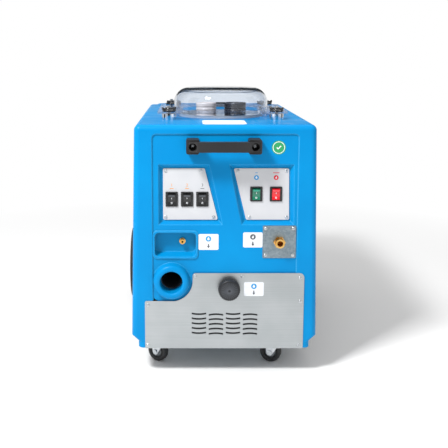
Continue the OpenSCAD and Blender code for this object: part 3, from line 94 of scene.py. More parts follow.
def spread(tree, value, low, high, to_low, to_high):
    """A value moved from one range into another and kept inside it."""
    return add(tree, "ShaderNodeMapRange", {
        "Value": value, "From Min": low, "From Max": high, "To Min": to_low, "To Max": to_high}).outputs[0]


def moulded_polyethylene(name, deep, plain, edge_highlight, edge_radius):
    """Rotomoulded polyethylene: slow drifts of tone, edges painted paler as a painted highlight, and a
    coarsely drawn orange peel.
    """
    finish, tree, shader, place = start_finish(name, plain, 0.34)
    drift = add(tree, "ShaderNodeTexNoise", {
        "Vector": place, "Scale": 1 / 0.16, "Detail": 3.0}).outputs["Fac"]
    tone = blend_colours(tree, spread(tree, drift, 0.3, 0.7, 0.0, 1.0), linear(deep), linear(plain))
    soft_edge = add(tree, "ShaderNodeBevel", {"Radius": edge_radius}, samples=6).outputs[0]
    facing = add(tree, "ShaderNodeNewGeometry").outputs["Normal"]
    turn = add(tree, "ShaderNodeVectorMath", {0: soft_edge, 1: facing},
               operation="DOT_PRODUCT").outputs["Value"]
    # Painted highlight: where the bevelled normal turns away from the face's own normal, the colour is
    # blended toward the paler edge colour.
    edge = spread(tree, turn, 0.995, 0.8, 0.0, 0.75)
    tree.links.new(blend_colours(tree, edge, tone, linear(edge_highlight)), shader.inputs["Base Color"])
    peel = add(tree, "ShaderNodeTexNoise", {
        "Vector": place, "Scale": 1 / 0.007, "Detail": 1.0}).outputs["Fac"]
    bump = add(tree, "ShaderNodeBump", {
        "Strength": 0.12, "Distance": 0.4 * mm, "Height": peel, "Normal": soft_edge})
    tree.links.new(bump.outputs[0], shader.inputs["Normal"])
    haze = add(tree, "ShaderNodeTexNoise", {
        "Vector": place, "Scale": 1 / 0.05, "Detail": 4.0}).outputs["Fac"]
    tree.links.new(spread(tree, haze, 0.3, 0.7, 0.28, 0.42), shader.inputs["Roughness"])
    shader.inputs["Specular IOR Level"].default_value = 0.12
    # Light that the body throws on its surroundings is greyed, so that floor and panels stay neutral
    bounced = add(tree, "ShaderNodeLightPath").outputs["Is Diffuse Ray"]
    grey = add(tree, "ShaderNodeBsdfDiffuse", {"Color": linear("#8C9196")})
    seen = add(tree, "ShaderNodeMixShader", {0: bounced, 1: shader.outputs[0], 2: grey.outputs[0]})
    tree.links.new(seen.outputs[0], tree.nodes["Material Output"].inputs["Surface"])
    return finish


def coat(finish, *names):
    """Gives nodes of the frame their finish."""
    for name in names:
        nodes[name].data.materials.clear()
        nodes[name].data.materials.append(finish)


# The last colour is the painted highlight that the edges are blended toward.
blue_moulding = moulded_polyethylene("moulded_blue_polyethylene", "#0087CA", "#0093D6", "#4DB6EE", 3 * mm)
coat(blue_moulding, "body_shell", "rear_cover")

front_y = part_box("front_panel")[1].y
top_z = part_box("body_shell")[1].z
sunken_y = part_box("steam_plate")[1].y

# ---- Stainless front panel ----
# A brushed stainless sheet with five rows of curved louvre slots closes the service
# opening. Brushing leaves fine streaks across its width and a satin sheen.


def brushed_sheet(name, dark, bright, roughness, streak_gap):
    """Brushed stainless: streaks along X, drawn several times as wide as the real grit so that they show."""
    finish, tree, shader, place = start_finish(name, bright, roughness, 1.0)
    stretched = add(tree, "ShaderNodeMapping", {
        "Vector": place, "Scale": (1 / 0.15, 1 / 0.05, 1 / streak_gap)}).outputs[0]
    streaks = add(tree, "ShaderNodeTexNoise", {
        "Vector": stretched, "Scale": 1.0, "Detail": 4.0}).outputs["Fac"]
    cloud = add(tree, "ShaderNodeTexNoise", {
        "Vector": place, "Scale": 1 / 0.07, "Detail": 2.0}).outputs["Fac"]
    mixed = add(tree, "ShaderNodeMath", {0: streaks, 1: cloud}, operation="ADD").outputs[0]
    level = spread(tree, mixed, 0.75, 1.25, 0.0, 1.0)
    tree.links.new(blend_colours(tree, level, linear(dark), linear(bright)), shader.inputs["Base Color"])
    sheen = spread(tree, streaks, 0.3, 0.7, roughness - 0.06, roughness + 0.08)
    tree.links.new(sheen, shader.inputs["Roughness"])
    bump = add(tree, "ShaderNodeBump", {"Strength": 0.06, "Distance": 0.1 * mm, "Height": streaks})
    tree.links.new(bump.outputs[0], shader.inputs["Normal"])
    return finish


brushed_stainless = brushed_sheet("brushed_stainless_sheet", "#ADB2B4", "#BABEC0", 0.42, 1.6 * mm)
coat(brushed_stainless, "front_panel", "boiler")


def galvanised_sheet(name, dark, bright, spangle):
    """Hot-dip galvanised sheet: frosted crystals, each with its own grey, and a dull shine."""
    finish, tree, shader, place = start_finish(name, bright, 0.45, 0.85)
    crystal = add(tree, "ShaderNodeTexVoronoi", {"Vector": place, "Scale": 1 / spangle}).outputs["Color"]
    grey = add(tree, "ShaderNodeSeparateColor", {"Color": crystal}).outputs[0]
    cloud = add(tree, "ShaderNodeTexNoise", {
        "Vector": place, "Scale": 1 / 0.02, "Detail": 4.0}).outputs["Fac"]
    mixed = add(tree, "ShaderNodeMath", {0: grey, 1: cloud}, operation="ADD").outputs[0]
    level = spread(tree, mixed, 0.2, 1.6, 0.0, 1.0)
    tree.links.new(blend_colours(tree, level, linear(dark), linear(bright)), shader.inputs["Base Color"])
    tree.links.new(spread(tree, grey, 0.0, 1.0, 0.36, 0.52), shader.inputs["Roughness"])
    return finish


galvanised = galvanised_sheet("galvanised_steel_sheet", "#77868F", "#98A5AD", 3.5 * mm)
coat(galvanised, "steam_plate", "base_plate")

# ---- Control panels ----
# White filmed plates carry the switches. Numbers mark the three plain switches, and a
# drop and a flame mark the lit ones; the marks are printed on the film.


def satin_plastic(name, colour, shade, roughness, grain, depth=0.1 * mm, strength=0.15):
    """Moulded or filmed plastic: a fine grain that breaks up the shine, and slight clouds of tone."""
    finish, tree, shader, place = start_finish(name, colour, roughness)
    cloud = add(tree, "ShaderNodeTexNoise", {
        "Vector": place, "Scale": 1 / 0.04, "Detail": 3.0}).outputs["Fac"]
    tone = blend_colours(tree, spread(tree, cloud, 0.3, 0.7, 0.0, 1.0), linear(shade), linear(colour))
    tree.links.new(tone, shader.inputs["Base Color"])
    speck = add(tree, "ShaderNodeTexNoise", {
        "Vector": place, "Scale": 1 / grain, "Detail": 2.0}).outputs["Fac"]
    bump = add(tree, "ShaderNodeBump", {"Strength": strength, "Distance": depth, "Height": speck})
    tree.links.new(bump.outputs[0], shader.inputs["Normal"])
    sheen = spread(tree, speck, 0.3, 0.7, roughness - 0.05, roughness + 0.06)
    tree.links.new(sheen, shader.inputs["Roughness"])
    return finish


white_film = satin_plastic("white_polyester_film", "#D2D4D8", "#CCCED3", 0.38, 3 * mm)
coat(white_film, "left_control_panel", "right_control_panel")
orange_ink = satin_plastic("orange_screen_ink", "#F2A23C", "#EE9830", 0.5, 2 * mm)
grey_ink = satin_plastic("grey_screen_ink", "#5B5F66", "#50545B", 0.5, 2 * mm)
blue_ink = satin_plastic("blue_screen_ink", "#139BDC", "#0D92D4", 0.45, 2 * mm)
red_ink = satin_plastic("red_screen_ink", "#E61E33", "#DE172C", 0.45, 2 * mm)
white_ink = satin_plastic("white_screen_ink", "#F4F6FA", "#ECEFF5", 0.5, 2 * mm)


def finish_piece(name, shape, finish, body, replaced=(), round_off=0.0, smooth=35):
    """Makes a piece of the built shape, smooths its round stretches and lets it ride on its body."""
    bmesh.ops.remove_doubles(shape, verts=shape.verts, dist=1e-6)
    bmesh.ops.recalc_face_normals(shape, faces=shape.faces)
    mesh = bpy.data.meshes.new(name)
    shape.to_mesh(mesh)
    shape.free()
    mesh.shade_smooth()
    mesh.set_sharp_from_angle(angle=math.radians(smooth))
    for one in finish if isinstance(finish, (list, tuple)) else [finish]:
        mesh.materials.append(one)
    piece = bpy.data.objects.new(name, mesh)
    bpy.context.scene.collection.objects.link(piece)
    if round_off:
        rounding = piece.modifiers.new("edges", "BEVEL")
        rounding.width = round_off
        rounding.segments = 2
        rounding.limit_method = "ANGLE"
        rounding.angle_limit = math.radians(40)
        rounding.harden_normals = True
    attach(piece, body)
    if replaced:
        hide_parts(*replaced)
    return piece


def prism(shape, outline, near, far, finish=0):
    """A flat piece standing in X and Z, from the plane y = near back to y = far."""
    front = [shape.verts.new((x, near, z)) for x, z in outline]
    back = [shape.verts.new((x, far, z)) for x, z in outline]
    faces = [shape.faces.new(front), shape.faces.new(list(reversed(back)))]
    for i in range(len(front)):
        j = (i + 1) % len(front)
        faces.append(shape.faces.new((front[i], back[i], back[j], front[j])))
    for face in faces:
        face.material_index = finish


def round_rect(x, z, width, height, radius, steps=6):
    """Outline of a rectangle with rounded corners about its middle."""
    points = []
    for i, (sx, sz) in enumerate(((1, 1), (-1, 1), (-1, -1), (1, -1))):
        for k in range(steps + 1):
            a = math.radians(90 * i + 90 * k / steps)
            points.append((x + sx * (width / 2 - radius) + radius * math.cos(a),
                           z + sz * (height / 2 - radius) + radius * math.sin(a)))
    return points


def disc(x, z, radius, steps=40):
    return [(x + radius * math.cos(2 * math.pi * k / steps), z + radius * math.sin(2 * math.pi * k / steps))
            for k in range(steps)]


def drop(x, z, radius):
    """Outline of a water drop with its point up."""
    points = []
    for k in range(32):
        a = 2 * math.pi * k / 32
        lift = max(0.0, math.sin(a)) ** 3
        points.append((x + radius * math.cos(a) * (1 - 0.75 * lift), z + radius * (math.sin(a) + 0.8 * lift)))
    return points


def flame(x, z, radius):
    """Outline of a small steam flame that leans to one side."""
    points = []
    for k in range(28):
        a = 2 * math.pi * k / 28
        lift = max(0.0, math.sin(a))
        across = 0.85 * math.cos(a) * (1 - 0.6 * lift) + 0.3 * lift
        points.append((x + radius * across, z + radius * (math.sin(a) + 0.5 * lift ** 2)))
    return points


def numeral(shape, digit, x, z, height, near, depth, finish=0):
    """A printed digit, as a thin solid facing -Y."""
    curve = bpy.data.curves.new("numeral", "FONT")
    curve.body = digit
    curve.size = height / 0.7
    curve.align_x = "CENTER"
    curve.align_y = "CENTER"
    curve.extrude = depth / 2
    holder = bpy.data.objects.new("numeral", curve)
    bpy.context.scene.collection.objects.link(holder)
    bpy.context.view_layer.update()
    flat = bpy.data.meshes.new_from_object(holder.evaluated_get(bpy.context.evaluated_depsgraph_get()))
    flat.transform(Matrix.Translation((x, near + depth / 2, z)) @ Matrix.Rotation(math.radians(90), 4, "X"))
    start = len(shape.faces)
    shape.from_mesh(flat)
    shape.faces.ensure_lookup_table()
    for face in shape.faces[start:]:
        face.material_index = finish
    bpy.data.objects.remove(holder)
    bpy.data.curves.remove(curve)
    bpy.data.meshes.remove(flat)


film_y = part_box("left_control_panel")[0].y
ink = 0.15 * mm


def middle(name):
    low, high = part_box(name)
    return (low + high) / 2


marks = bmesh.new()
mark_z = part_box("left_rocker_1")[1].z + 18 * mm
for i, name in enumerate(("left_rocker_1", "left_rocker_2", "left_rocker_3")):
    tint = 1 if name == "left_rocker_3" else 0
    x = middle(name).x
    numeral(marks, str(i + 1), x, mark_z, 6 * mm, film_y - ink, ink, tint)
    prism(marks, round_rect(x, mark_z - 7 * mm, 8 * mm, 1.2 * mm, 0.5 * mm), film_y - ink, film_y, tint)
finish_piece("left_panel_marks", marks, [orange_ink, grey_ink], "root")

icons = bmesh.new()
icon_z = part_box("green_rocker")[1].z + 23 * mm
icon_r = 5 * mm
for name, tint, sign in (("green_rocker", 0, drop), ("red_rocker", 1, flame)):
    x = middle(name).x
    prism(icons, disc(x, icon_z, icon_r), film_y - ink, film_y, tint)
    prism(icons, sign(x, icon_z - 0.4 * mm, 2.1 * mm), film_y - 2 * ink, film_y - ink, 2)
    line = round_rect(x, icon_z + 10 * mm, (5 + 8 * tint) * mm, 1.3 * mm, 0.5 * mm)
    prism(icons, line, film_y - ink, film_y, tint)
finish_piece("right_panel_icons", icons, [blue_ink, red_ink, white_ink], "root")

# ---- Rocker switches ----
# Each switch is a glossy black nylon bezel round a hollow rocker. The left three are
# black, and the right two are tinted and lit; a bar and a ring mark on and off.


def polished_plastic(name, colour, shade, roughness, coat_weight):
    """Injection-moulded nylon or acrylic straight from a polished tool."""
    finish = satin_plastic(name, colour, shade, roughness, 6 * mm, strength=0.05)
    shader = finish.node_tree.nodes["Principled BSDF"]
    shader.inputs["Coat Weight"].default_value = coat_weight
    shader.inputs["Coat Roughness"].default_value = 0.08
    return finish


black_nylon = polished_plastic("polished_black_nylon", "#1D1E20", "#161719", 0.3, 0.2)
green_acrylic = polished_plastic("green_tinted_acrylic", "#00795C", "#006D52", 0.2, 0.6)
red_acrylic = polished_plastic("red_tinted_acrylic", "#EE0E22", "#E4081B", 0.2, 0.6)
bright_green = polished_plastic("lit_green_acrylic", "#1EA68A", "#189C80", 0.25, 0.5)
bright_red = polished_plastic("lit_red_acrylic", "#FF4A55", "#FA3D48", 0.25, 0.5)
coat(black_nylon, "switch_housings", "left_rocker_1", "left_rocker_2", "left_rocker_3")
coat(green_acrylic, "green_rocker")
coat(red_acrylic, "red_rocker")

rocker_tilt = math.radians(10)


def rocker_marks(name, body, band_finish):
    """Raised band, bar and ring that lie on a rocker's two sloping faces."""
    centre = middle(name)
    pivot = Vector((centre.x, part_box("switch_housings")[0].y + 2 * mm, centre.z))
    lean = Matrix.Translation(pivot) @ Matrix.Rotation(rocker_tilt, 4, "X")
    shape = bmesh.new()
    prism(shape, round_rect(0, 9.2 * mm, 13 * mm, 2.6 * mm, 0.8 * mm), -5.15 * mm, -4.2 * mm, 1)
    prism(shape, round_rect(0, 3.4 * mm, 0.9 * mm, 3.6 * mm, 0.3 * mm), -3.75 * mm, -3.2 * mm)
    ring_z = -6.6 * mm
    inner, outer = disc(0, ring_z, 1.1 * mm, 20), disc(0, ring_z, 1.9 * mm, 20)
    for k in range(20):
        j = (k + 1) % 20
        prism(shape, [inner[k], outer[k], outer[j], inner[j]], -4.5 * mm, -3.6 * mm)
    bmesh.ops.transform(shape, matrix=lean, verts=shape.verts)
    finish_piece(name + "_marks", shape, [white_ink, band_finish], body)


for name in ("left_rocker_1", "left_rocker_2", "left_rocker_3"):
    rocker_marks(name, name, grey_ink)
rocker_marks("green_rocker", "green_rocker", bright_green)
rocker_marks("red_rocker", "red_rocker", bright_red)

# ---- Handles ----
# Two bridge handles of black glass-filled nylon, each on two button-head screws that
# sit at the floor of round wells. The grain is a fine spark-eroded texture.

black_grained = satin_plastic(
    "spark_textured_black_nylon", "#232325", "#1B1B1D", 0.5, 2.5 * mm, 0.3 * mm, 0.35)
coat(black_grained, "front_handle", "rear_handle", "cord_gland", "solution_cap", "filler_neck")


def clouded_metal(name, colour, shade, roughness):
    """Plated, turned or drawn metal: bright, with the cloudy patches that handling and air leave."""
    finish, tree, shader, place = start_finish(name, colour, roughness, 1.0)
    cloud = add(tree, "ShaderNodeTexNoise", {
        "Vector": place, "Scale": 1 / 0.012, "Detail": 4.0}).outputs["Fac"]
    tone = blend_colours(tree, spread(tree, cloud, 0.35, 0.65, 0.0, 1.0), linear(shade), linear(colour))
    tree.links.new(tone, shader.inputs["Base Color"])
    sheen = spread(tree, cloud, 0.3, 0.7, roughness - 0.06, roughness + 0.1)
    tree.links.new(sheen, shader.inputs["Roughness"])
    return finish


zinc_plate = clouded_metal("zinc_plated_steel", "#D9DCDF", "#B9BEC2", 0.3)
coat(zinc_plate, "lid_studs", "rear_axle", "caster_plates")

# ---- Clear lid ----
# A vacuum-formed clear acrylic dome with a square flange lies over the recovery tank.
# Polished acrylic is nearly colourless, with bright reflections where it curves.


def clear_acrylic(name, tint, grazing_shade_tint, roughness, unbent=0.0):
    """Clear acrylic, painted darker as painted shade where its wall is seen edge-on. Lamps shine in through
    it, and the unbent share of light passes straight on.
    """
    finish, tree, shader, place = start_finish(name, tint, roughness)
    shader.inputs["Transmission Weight"].default_value = 1.0
    shader.inputs["IOR"].default_value = 1.45
    # Painted shade: the colour darkens toward the second tint as the wall turns edge-on to the view.
    slant = add(tree, "ShaderNodeLayerWeight", {"Blend": 0.5}).outputs["Facing"]
    shade = blend_colours(tree, spread(tree, slant, 0.35, 1.0, 0.0, 1.0), linear(tint), linear(grazing_shade_tint))
    tree.links.new(shade, shader.inputs["Base Color"])
    ripple = add(tree, "ShaderNodeTexNoise", {
        "Vector": place, "Scale": 1 / 0.045, "Detail": 1.0}).outputs["Fac"]
    bump = add(tree, "ShaderNodeBump", {"Strength": 0.15, "Distance": 1.5 * mm, "Height": ripple})
    tree.links.new(bump.outputs[0], shader.inputs["Normal"])
    path = add(tree, "ShaderNodeLightPath")
    passing = add(tree, "ShaderNodeMath", {
        0: path.outputs["Is Shadow Ray"], 1: path.outputs["Is Diffuse Ray"]}, operation="MAXIMUM").outputs[0]
    passing = add(tree, "ShaderNodeMath", {0: passing, 1: unbent}, operation="MAXIMUM").outputs[0]
    open_way = add(tree, "ShaderNodeBsdfTransparent", {"Color": linear("#E6EAF0")})
    mixed = add(tree, "ShaderNodeMixShader", {0: passing, 1: shader.outputs[0], 2: open_way.outputs[0]})
    tree.links.new(mixed.outputs[0], tree.nodes["Material Output"].inputs["Surface"])
    return finish


def lathe(shape, profile, place, steps=96, finish=0):
    """Turns a closed outline of (radius, height) about place's Z axis."""
    rings = []
    for radius, height in profile:
        count = steps if radius > 1e-6 else 1
        rings.append([shape.verts.new(place @ Vector((radius * math.cos(2 * math.pi * k / steps),
                                                      radius * math.sin(2 * math.pi * k / steps), height)))
                      for k in range(count)])
    for a, b in zip(rings, rings[1:] + rings[:1]):
        if len(a) == 1 and len(b) == 1:
            continue
        for k in range(steps):
            j = (k + 1) % steps
            corners = [a[k % len(a)], a[j % len(a)], b[j % len(b)], b[k % len(b)]]
            face = shape.faces.new(list(dict.fromkeys(corners)))
            face.material_index = finish


def arc(cx, cy, radius, start, end, steps):
    turns = [math.radians(start + (end - start) * k / steps) for k in range(steps + 1)]
    return [(cx + radius * math.cos(a), cy + radius * math.sin(a)) for a in turns]


lid_low, lid_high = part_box("lid")
dome_axis = Vector((0, (lid_low.y + lid_high.y) / 2, 0))
dome_r, wall, blend_r = 109 * mm, 4 * mm, 34 * mm
crown_z = lid_high.z
side_z = crown_z - blend_r - 2 * mm
skirt_z = lid_low.z
flange_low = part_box("stud_collars")[1].z + 0.1 * mm
clear_lid = bmesh.new()
outer = ([(dome_r, skirt_z)] + arc(dome_r - blend_r, side_z, blend_r, 0, 86, 14)
         + [(40 * mm, crown_z - 0.5 * mm), (0, crown_z)])
inner = ([(0, crown_z - wall), (40 * mm, crown_z - wall - 0.5 * mm)]
         + arc(dome_r - blend_r, side_z, blend_r - wall, 86, 0, 14) + [(dome_r - wall, skirt_z)])
lathe(clear_lid, outer + inner, Matrix.Translation(dome_axis), 128)
flange = round_rect(0, dome_axis.y, lid_high.x - lid_low.x, lid_high.y - lid_low.y, 28 * mm, 15)
hole = []
for x, y in flange:
    a = math.atan2(y - dome_axis.y, x)
    hole.append(((dome_r + 0.05 * mm) * math.cos(a), dome_axis.y + (dome_r + 0.05 * mm) * math.sin(a)))
flange_high = flange_low + wall
levels = ((hole, flange_low), (flange, flange_low), (flange, flange_high), (hole, flange_high))
loops = [[clear_lid.verts.new((x, y, z)) for x, y in outline] for outline, z in levels]
for a, b in zip(loops, loops[1:] + loops[:1]):
    for k in range(len(flange)):
        j = (k + 1) % len(flange)
        clear_lid.faces.new((a[k], a[j], b[j], b[k])).material_index = 1
# The second tint of each is its painted shade where the wall is seen edge-on.
acrylic = clear_acrylic("polished_clear_acrylic", "#EDF2F8", "#8794A3", 0.0)
flange_acrylic = clear_acrylic("handled_clear_acrylic", "#F1F5FA", "#AEBAC6", 0.04, 0.7)
finish_piece("clear_lid", clear_lid, [acrylic, flange_acrylic], "lid", ["lid"], smooth=50)

# ---- Wing knobs, studs and collars ----
# Four compression-moulded black phenolic wing knobs turn on zinc-plated studs and hold the
# lid down. Polished chrome collars under the lid's flange take their pressure.

black_phenolic = polished_plastic("polished_black_phenolic", "#1A1A1C", "#121214", 0.25, 0.5)
chrome = clouded_metal("polished_chrome_plate", "#E6E8EB", "#CDD1D6", 0.1)
coat(chrome, "stud_collars")


def knob_turn(name, axis):
    """How far a knob is turned about its stud, read from the tips of its wings."""
    tips = [v.co - axis for v in nodes[name].data.vertices if (v.co - axis).xy.length > 15.3 * mm]
    doubled = [2 * math.atan2(tip.y, tip.x) for tip in tips]
    return math.atan2(sum(map(math.sin, doubled)), sum(map(math.cos, doubled))) / 2


def wing_knob(name):
    low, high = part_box(name)
    joint = next(j for j in frame["joints"] if j["name"] == name + "_turn")
    axis = Vector((joint["pos_m"][0], joint["pos_m"][1], low.z))
    height = high.z - low.z
    shape = bmesh.new()
    bore = 4.05 * mm
    hub_top = height - 1 * mm
    profile = ([(bore, 0), (13.6 * mm, 0)] + arc(13.6 * mm, 1.4 * mm, 1.4 * mm, -90, 0, 4)
               + arc(14 * mm, 2.4 * mm, 1 * mm, 0, 90, 4)
               + [(11.5 * mm, 4.2 * mm), (9.4 * mm, 6 * mm), (9 * mm, 7.4 * mm)]
               + arc(7.8 * mm, hub_top - 1.2 * mm, 1.2 * mm, 0, 90, 4) + [(bore, hub_top)])
    lathe(shape, profile, Matrix.Identity(4), 48)
    for side in (-1, 1):
        low_edge = [(7, 2.6), (13.4, 2.6), (15, 3.6)]
        drop_from_top = [(15.9, 4), (15.9, 1.2), (15, 0), (13.6, 0.2), (12.2, 2), (10.4, 2.6), (7, 2.8)]
        outline = ([(side * x * mm, z * mm) for x, z in low_edge]
                   + [(side * x * mm, height - z * mm) for x, z in drop_from_top])
        prism(shape, outline if side > 0 else outline[::-1], -3.3 * mm, 3.3 * mm)
    turn = Matrix.Translation(axis) @ Matrix.Rotation(knob_turn(name, axis), 4, "Z")
    bmesh.ops.transform(shape, matrix=turn, verts=shape.verts)
    finish_piece(name + "_moulding", shape, black_phenolic, name, [name], round_off=0.9 * mm)


for name in ("knob_front_left", "knob_front_right", "knob_rear_left", "knob_rear_right"):
    wing_knob(name)

# ---- Tanks, standpipes and their caps ----
# The tanks and standpipes are milky moulded polyethylene. A ringed white cap sits on the
# inlet pipe and a black ribbed cage on the suction pipe; both are pushed on.

milky_polyethylene = satin_plastic("milky_polyethylene", "#E4E8EA", "#D6DCE0", 0.42, 4 * mm)
black_rubber = satin_plastic("moulded_black_rubber", "#232324", "#1B1B1C", 0.6, 2 * mm, 0.2 * mm, 0.3)
orange_foam = satin_plastic("closed_cell_orange_foam", "#EE8A2A", "#DE7A1E", 0.75, 1.2 * mm, 0.6 * mm, 0.7)
white_cap_plastic = polished_plastic("white_polystyrene", "#FFF1E8", "#F6E7E0", 0.35, 0.2)
black_cap_plastic = satin_plastic("black_polypropylene", "#2E2F36", "#26272D", 0.4, 2 * mm, 0.2 * mm, 0.2)
coat(milky_polyethylene, "recovery_tank", "standpipes", "solution_tank")
pale_silicone = satin_plastic("pale_silicone_rubber", "#C9CDD2", "#BDC2C8", 0.5, 2 * mm)
coat(black_rubber, "filler_gasket", "water_hoses")
coat(pale_silicone, "lid_gasket")
coat(orange_foam, "float_ring")


def ringed_cap(name, node, finish, rings, groove):
    """A push-on cap whose side has moulded rings, with a dished top and a hollow underside."""
    low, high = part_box(node)
    centre = (low + high) / 2
    radius, height = (high.x - low.x) / 2, high.z - low.z
    rib = (height - 6 * mm) / rings
    side = []
    for k in range(rings):
        z = 2 * mm + k * rib
        side += [(radius - groove, z), (radius - groove, z + 0.25 * rib)]
        side += arc(radius - groove, z + 0.62 * rib, groove, -60, 60, 4)
    profile = ([(22.75 * mm, 0), (radius - 1 * mm, 0), (radius - 0.4 * mm, 1 * mm)] + side
               + arc(radius - 3 * mm, height - 3 * mm, 3 * mm, 10, 90, 6)
               + [(radius - 6 * mm, height), (radius - 7 * mm, height - 1.2 * mm),
                  (5 * mm, height - 1.2 * mm), (4 * mm, height), (0, height), (0, height - 4 * mm),
                  (20.5 * mm, height - 4 * mm), (20.5 * mm, 14 * mm), (22.75 * mm, 14 * mm)])
    shape = bmesh.new()
    lathe(shape, profile, Matrix.Translation((centre.x, centre.y, low.z)), 72)
    finish_piece(name, shape, finish, "root", [node])


ringed_cap("ringed_inlet_cap", "inlet_cap", white_cap_plastic, 4, 0.9 * mm)
ringed_cap("ribbed_float_cage", "float_cage", black_cap_plastic, 6, 1.4 * mm)

# ---- Screws ----
# Zinc-plated pan-head screws with cross recesses hold the panels, the steam plate and the
# rear cover. Each head is domed, and its recess ends where the driver left it.


def group_input(tree, name, kind, value=None):
    """A named input of a Geometry Nodes tree, with its value before anything is connected."""
    socket = tree.interface.new_socket(name=name, in_out="INPUT", socket_type=kind)
    if value is not None:
        socket.default_value = value
    return socket


def screw_tree():
    """Pan heads with cross recesses and short shanks, one at each point, turned at random about Z."""
    tree = bpy.data.node_groups.new("cross_recess_screws", "GeometryNodeTree")
    group_input(tree, "Geometry", "NodeSocketGeometry")
    for name, value in (("Head radius", 3.6 * mm), ("Head height", 1.6 * mm), ("Recess length", 4 * mm),
                        ("Recess width", 0.9 * mm), ("Shank radius", 1.8 * mm), ("Shank length", 9 * mm)):
        group_input(tree, name, "NodeSocketFloat", value)
    group_input(tree, "Finish", "NodeSocketMaterial")
    tree.interface.new_socket(name="Geometry", in_out="OUTPUT", socket_type="NodeSocketGeometry")
    given = add(tree, "NodeGroupInput").outputs
    flatness = add(tree, "ShaderNodeMath", {
        0: given["Head height"], 1: given["Head radius"]}, operation="DIVIDE").outputs[0]
    dome_size = add(tree, "ShaderNodeCombineXYZ", {0: 1.0, 1: 1.0, 2: flatness}).outputs[0]
    ball = add(tree, "GeometryNodeMeshUVSphere", {
        "Segments": 24, "Rings": 12, "Radius": given["Head radius"]}).outputs[0]
    head = add(tree, "GeometryNodeTransform", {"Geometry": ball, "Scale": dome_size})
    depth = add(tree, "ShaderNodeMath", {0: given["Head height"], 1: 1.3}, operation="MULTIPLY").outputs[0]
    bars = []
    for first, second in (("Recess length", "Recess width"), ("Recess width", "Recess length")):
        size = add(tree, "ShaderNodeCombineXYZ", {0: given[first], 1: given[second], 2: depth}).outputs[0]
        bars.append(add(tree, "GeometryNodeMeshCube", {"Size": size}).outputs[0])
    lift = add(tree, "ShaderNodeCombineXYZ", {2: given["Head height"]}).outputs[0]
    first_bar = add(tree, "GeometryNodeTransform", {"Geometry": bars[0], "Translation": lift}).outputs[0]
    second_bar = add(tree, "GeometryNodeTransform", {"Geometry": bars[1], "Translation": lift}).outputs[0]
    cut = add(tree, "GeometryNodeMeshBoolean", {0: head.outputs[0], 1: first_bar},
              operation="DIFFERENCE", solver="EXACT")
    tree.links.new(second_bar, cut.inputs[1])
    shank = add(tree, "GeometryNodeMeshCylinder", {
        "Vertices": 12, "Radius": given["Shank radius"], "Depth": given["Shank length"]}).outputs[0]
    half = add(tree, "ShaderNodeMath", {0: given["Shank length"], 1: -0.5}, operation="MULTIPLY").outputs[0]
    drop_down = add(tree, "ShaderNodeCombineXYZ", {2: half}).outputs[0]
    low_shank = add(tree, "GeometryNodeTransform", {"Geometry": shank, "Translation": drop_down}).outputs[0]
    screw = add(tree, "GeometryNodeJoinGeometry", {0: cut.outputs[0]})
    tree.links.new(low_shank, screw.inputs[0])
    turn = add(tree, "FunctionNodeRandomValue", {2: 0.0, 3: math.pi, "Seed": 7}, data_type="FLOAT").outputs[1]
    about = add(tree, "ShaderNodeCombineXYZ", {2: turn}).outputs[0]
    placed = add(tree, "GeometryNodeInstanceOnPoints", {
        "Points": given["Geometry"], "Instance": screw.outputs[0], "Rotation": about}).outputs[0]
    real = add(tree, "GeometryNodeRealizeInstances", {"Geometry": placed}).outputs[0]
    coated = add(tree, "GeometryNodeSetMaterial", {"Geometry": real, "Material": given["Finish"]}).outputs[0]
    add(tree, "NodeGroupOutput", {"Geometry": coated})
    return tree


def run_tree(tree, start, **values):
    """Evaluates a Geometry Nodes tree on a start mesh and returns the plain mesh that it makes."""
    holder = bpy.data.objects.new(tree.name, start)
    bpy.context.scene.collection.objects.link(holder)
    modifier = holder.modifiers.new(tree.name, "NODES")
    modifier.node_group = tree
    given = [socket for socket in tree.interface.items_tree if socket.in_out == "INPUT"]
    names = {socket.name: socket.identifier for socket in given}
    for name, value in values.items():
        modifier[names[name.replace("_", " ")]] = value
    holder.update_tag()
    bpy.context.view_layer.update()
    made = bpy.data.meshes.new_from_object(holder.evaluated_get(bpy.context.evaluated_depsgraph_get()))
    bpy.data.objects.remove(holder)
    bpy.data.meshes.remove(start)
    return made


def take_in(shape, mesh, place, finish=0):
    """Adds a mesh to a shape at its place."""
    mesh.transform(place)
    start = len(shape.faces)
    shape.from_mesh(mesh)
    shape.faces.ensure_lookup_table()
    for face in shape.faces[start:]:
        face.material_index = finish
    bpy.data.meshes.remove(mesh)


def islands(name):
    """The separate solids of a CAD node, as their lowest and highest corners."""
    shape = bmesh.new()
    shape.from_mesh(nodes[name].data)
    bmesh.ops.remove_doubles(shape, verts=shape.verts, dist=1e-6)
    left = set(shape.verts)
    found = []
    while left:
        group, todo = [], [left.pop()]
        while todo:
            vert = todo.pop()
            group.append(vert.co.copy())
            for edge in vert.link_edges:
                other = edge.other_vert(vert)
                if other in left:
                    left.discard(other)
                    todo.append(other)
        found.append([Vector(pick(co[i] for co in group) for i in range(3)) for pick in (min, max)])
    shape.free()
    # Sorted, so that each screw keeps its own random turn in every run
    return sorted(found, key=lambda corners: [round(c / mm, 1) for c in corners[0]])


screws = screw_tree()


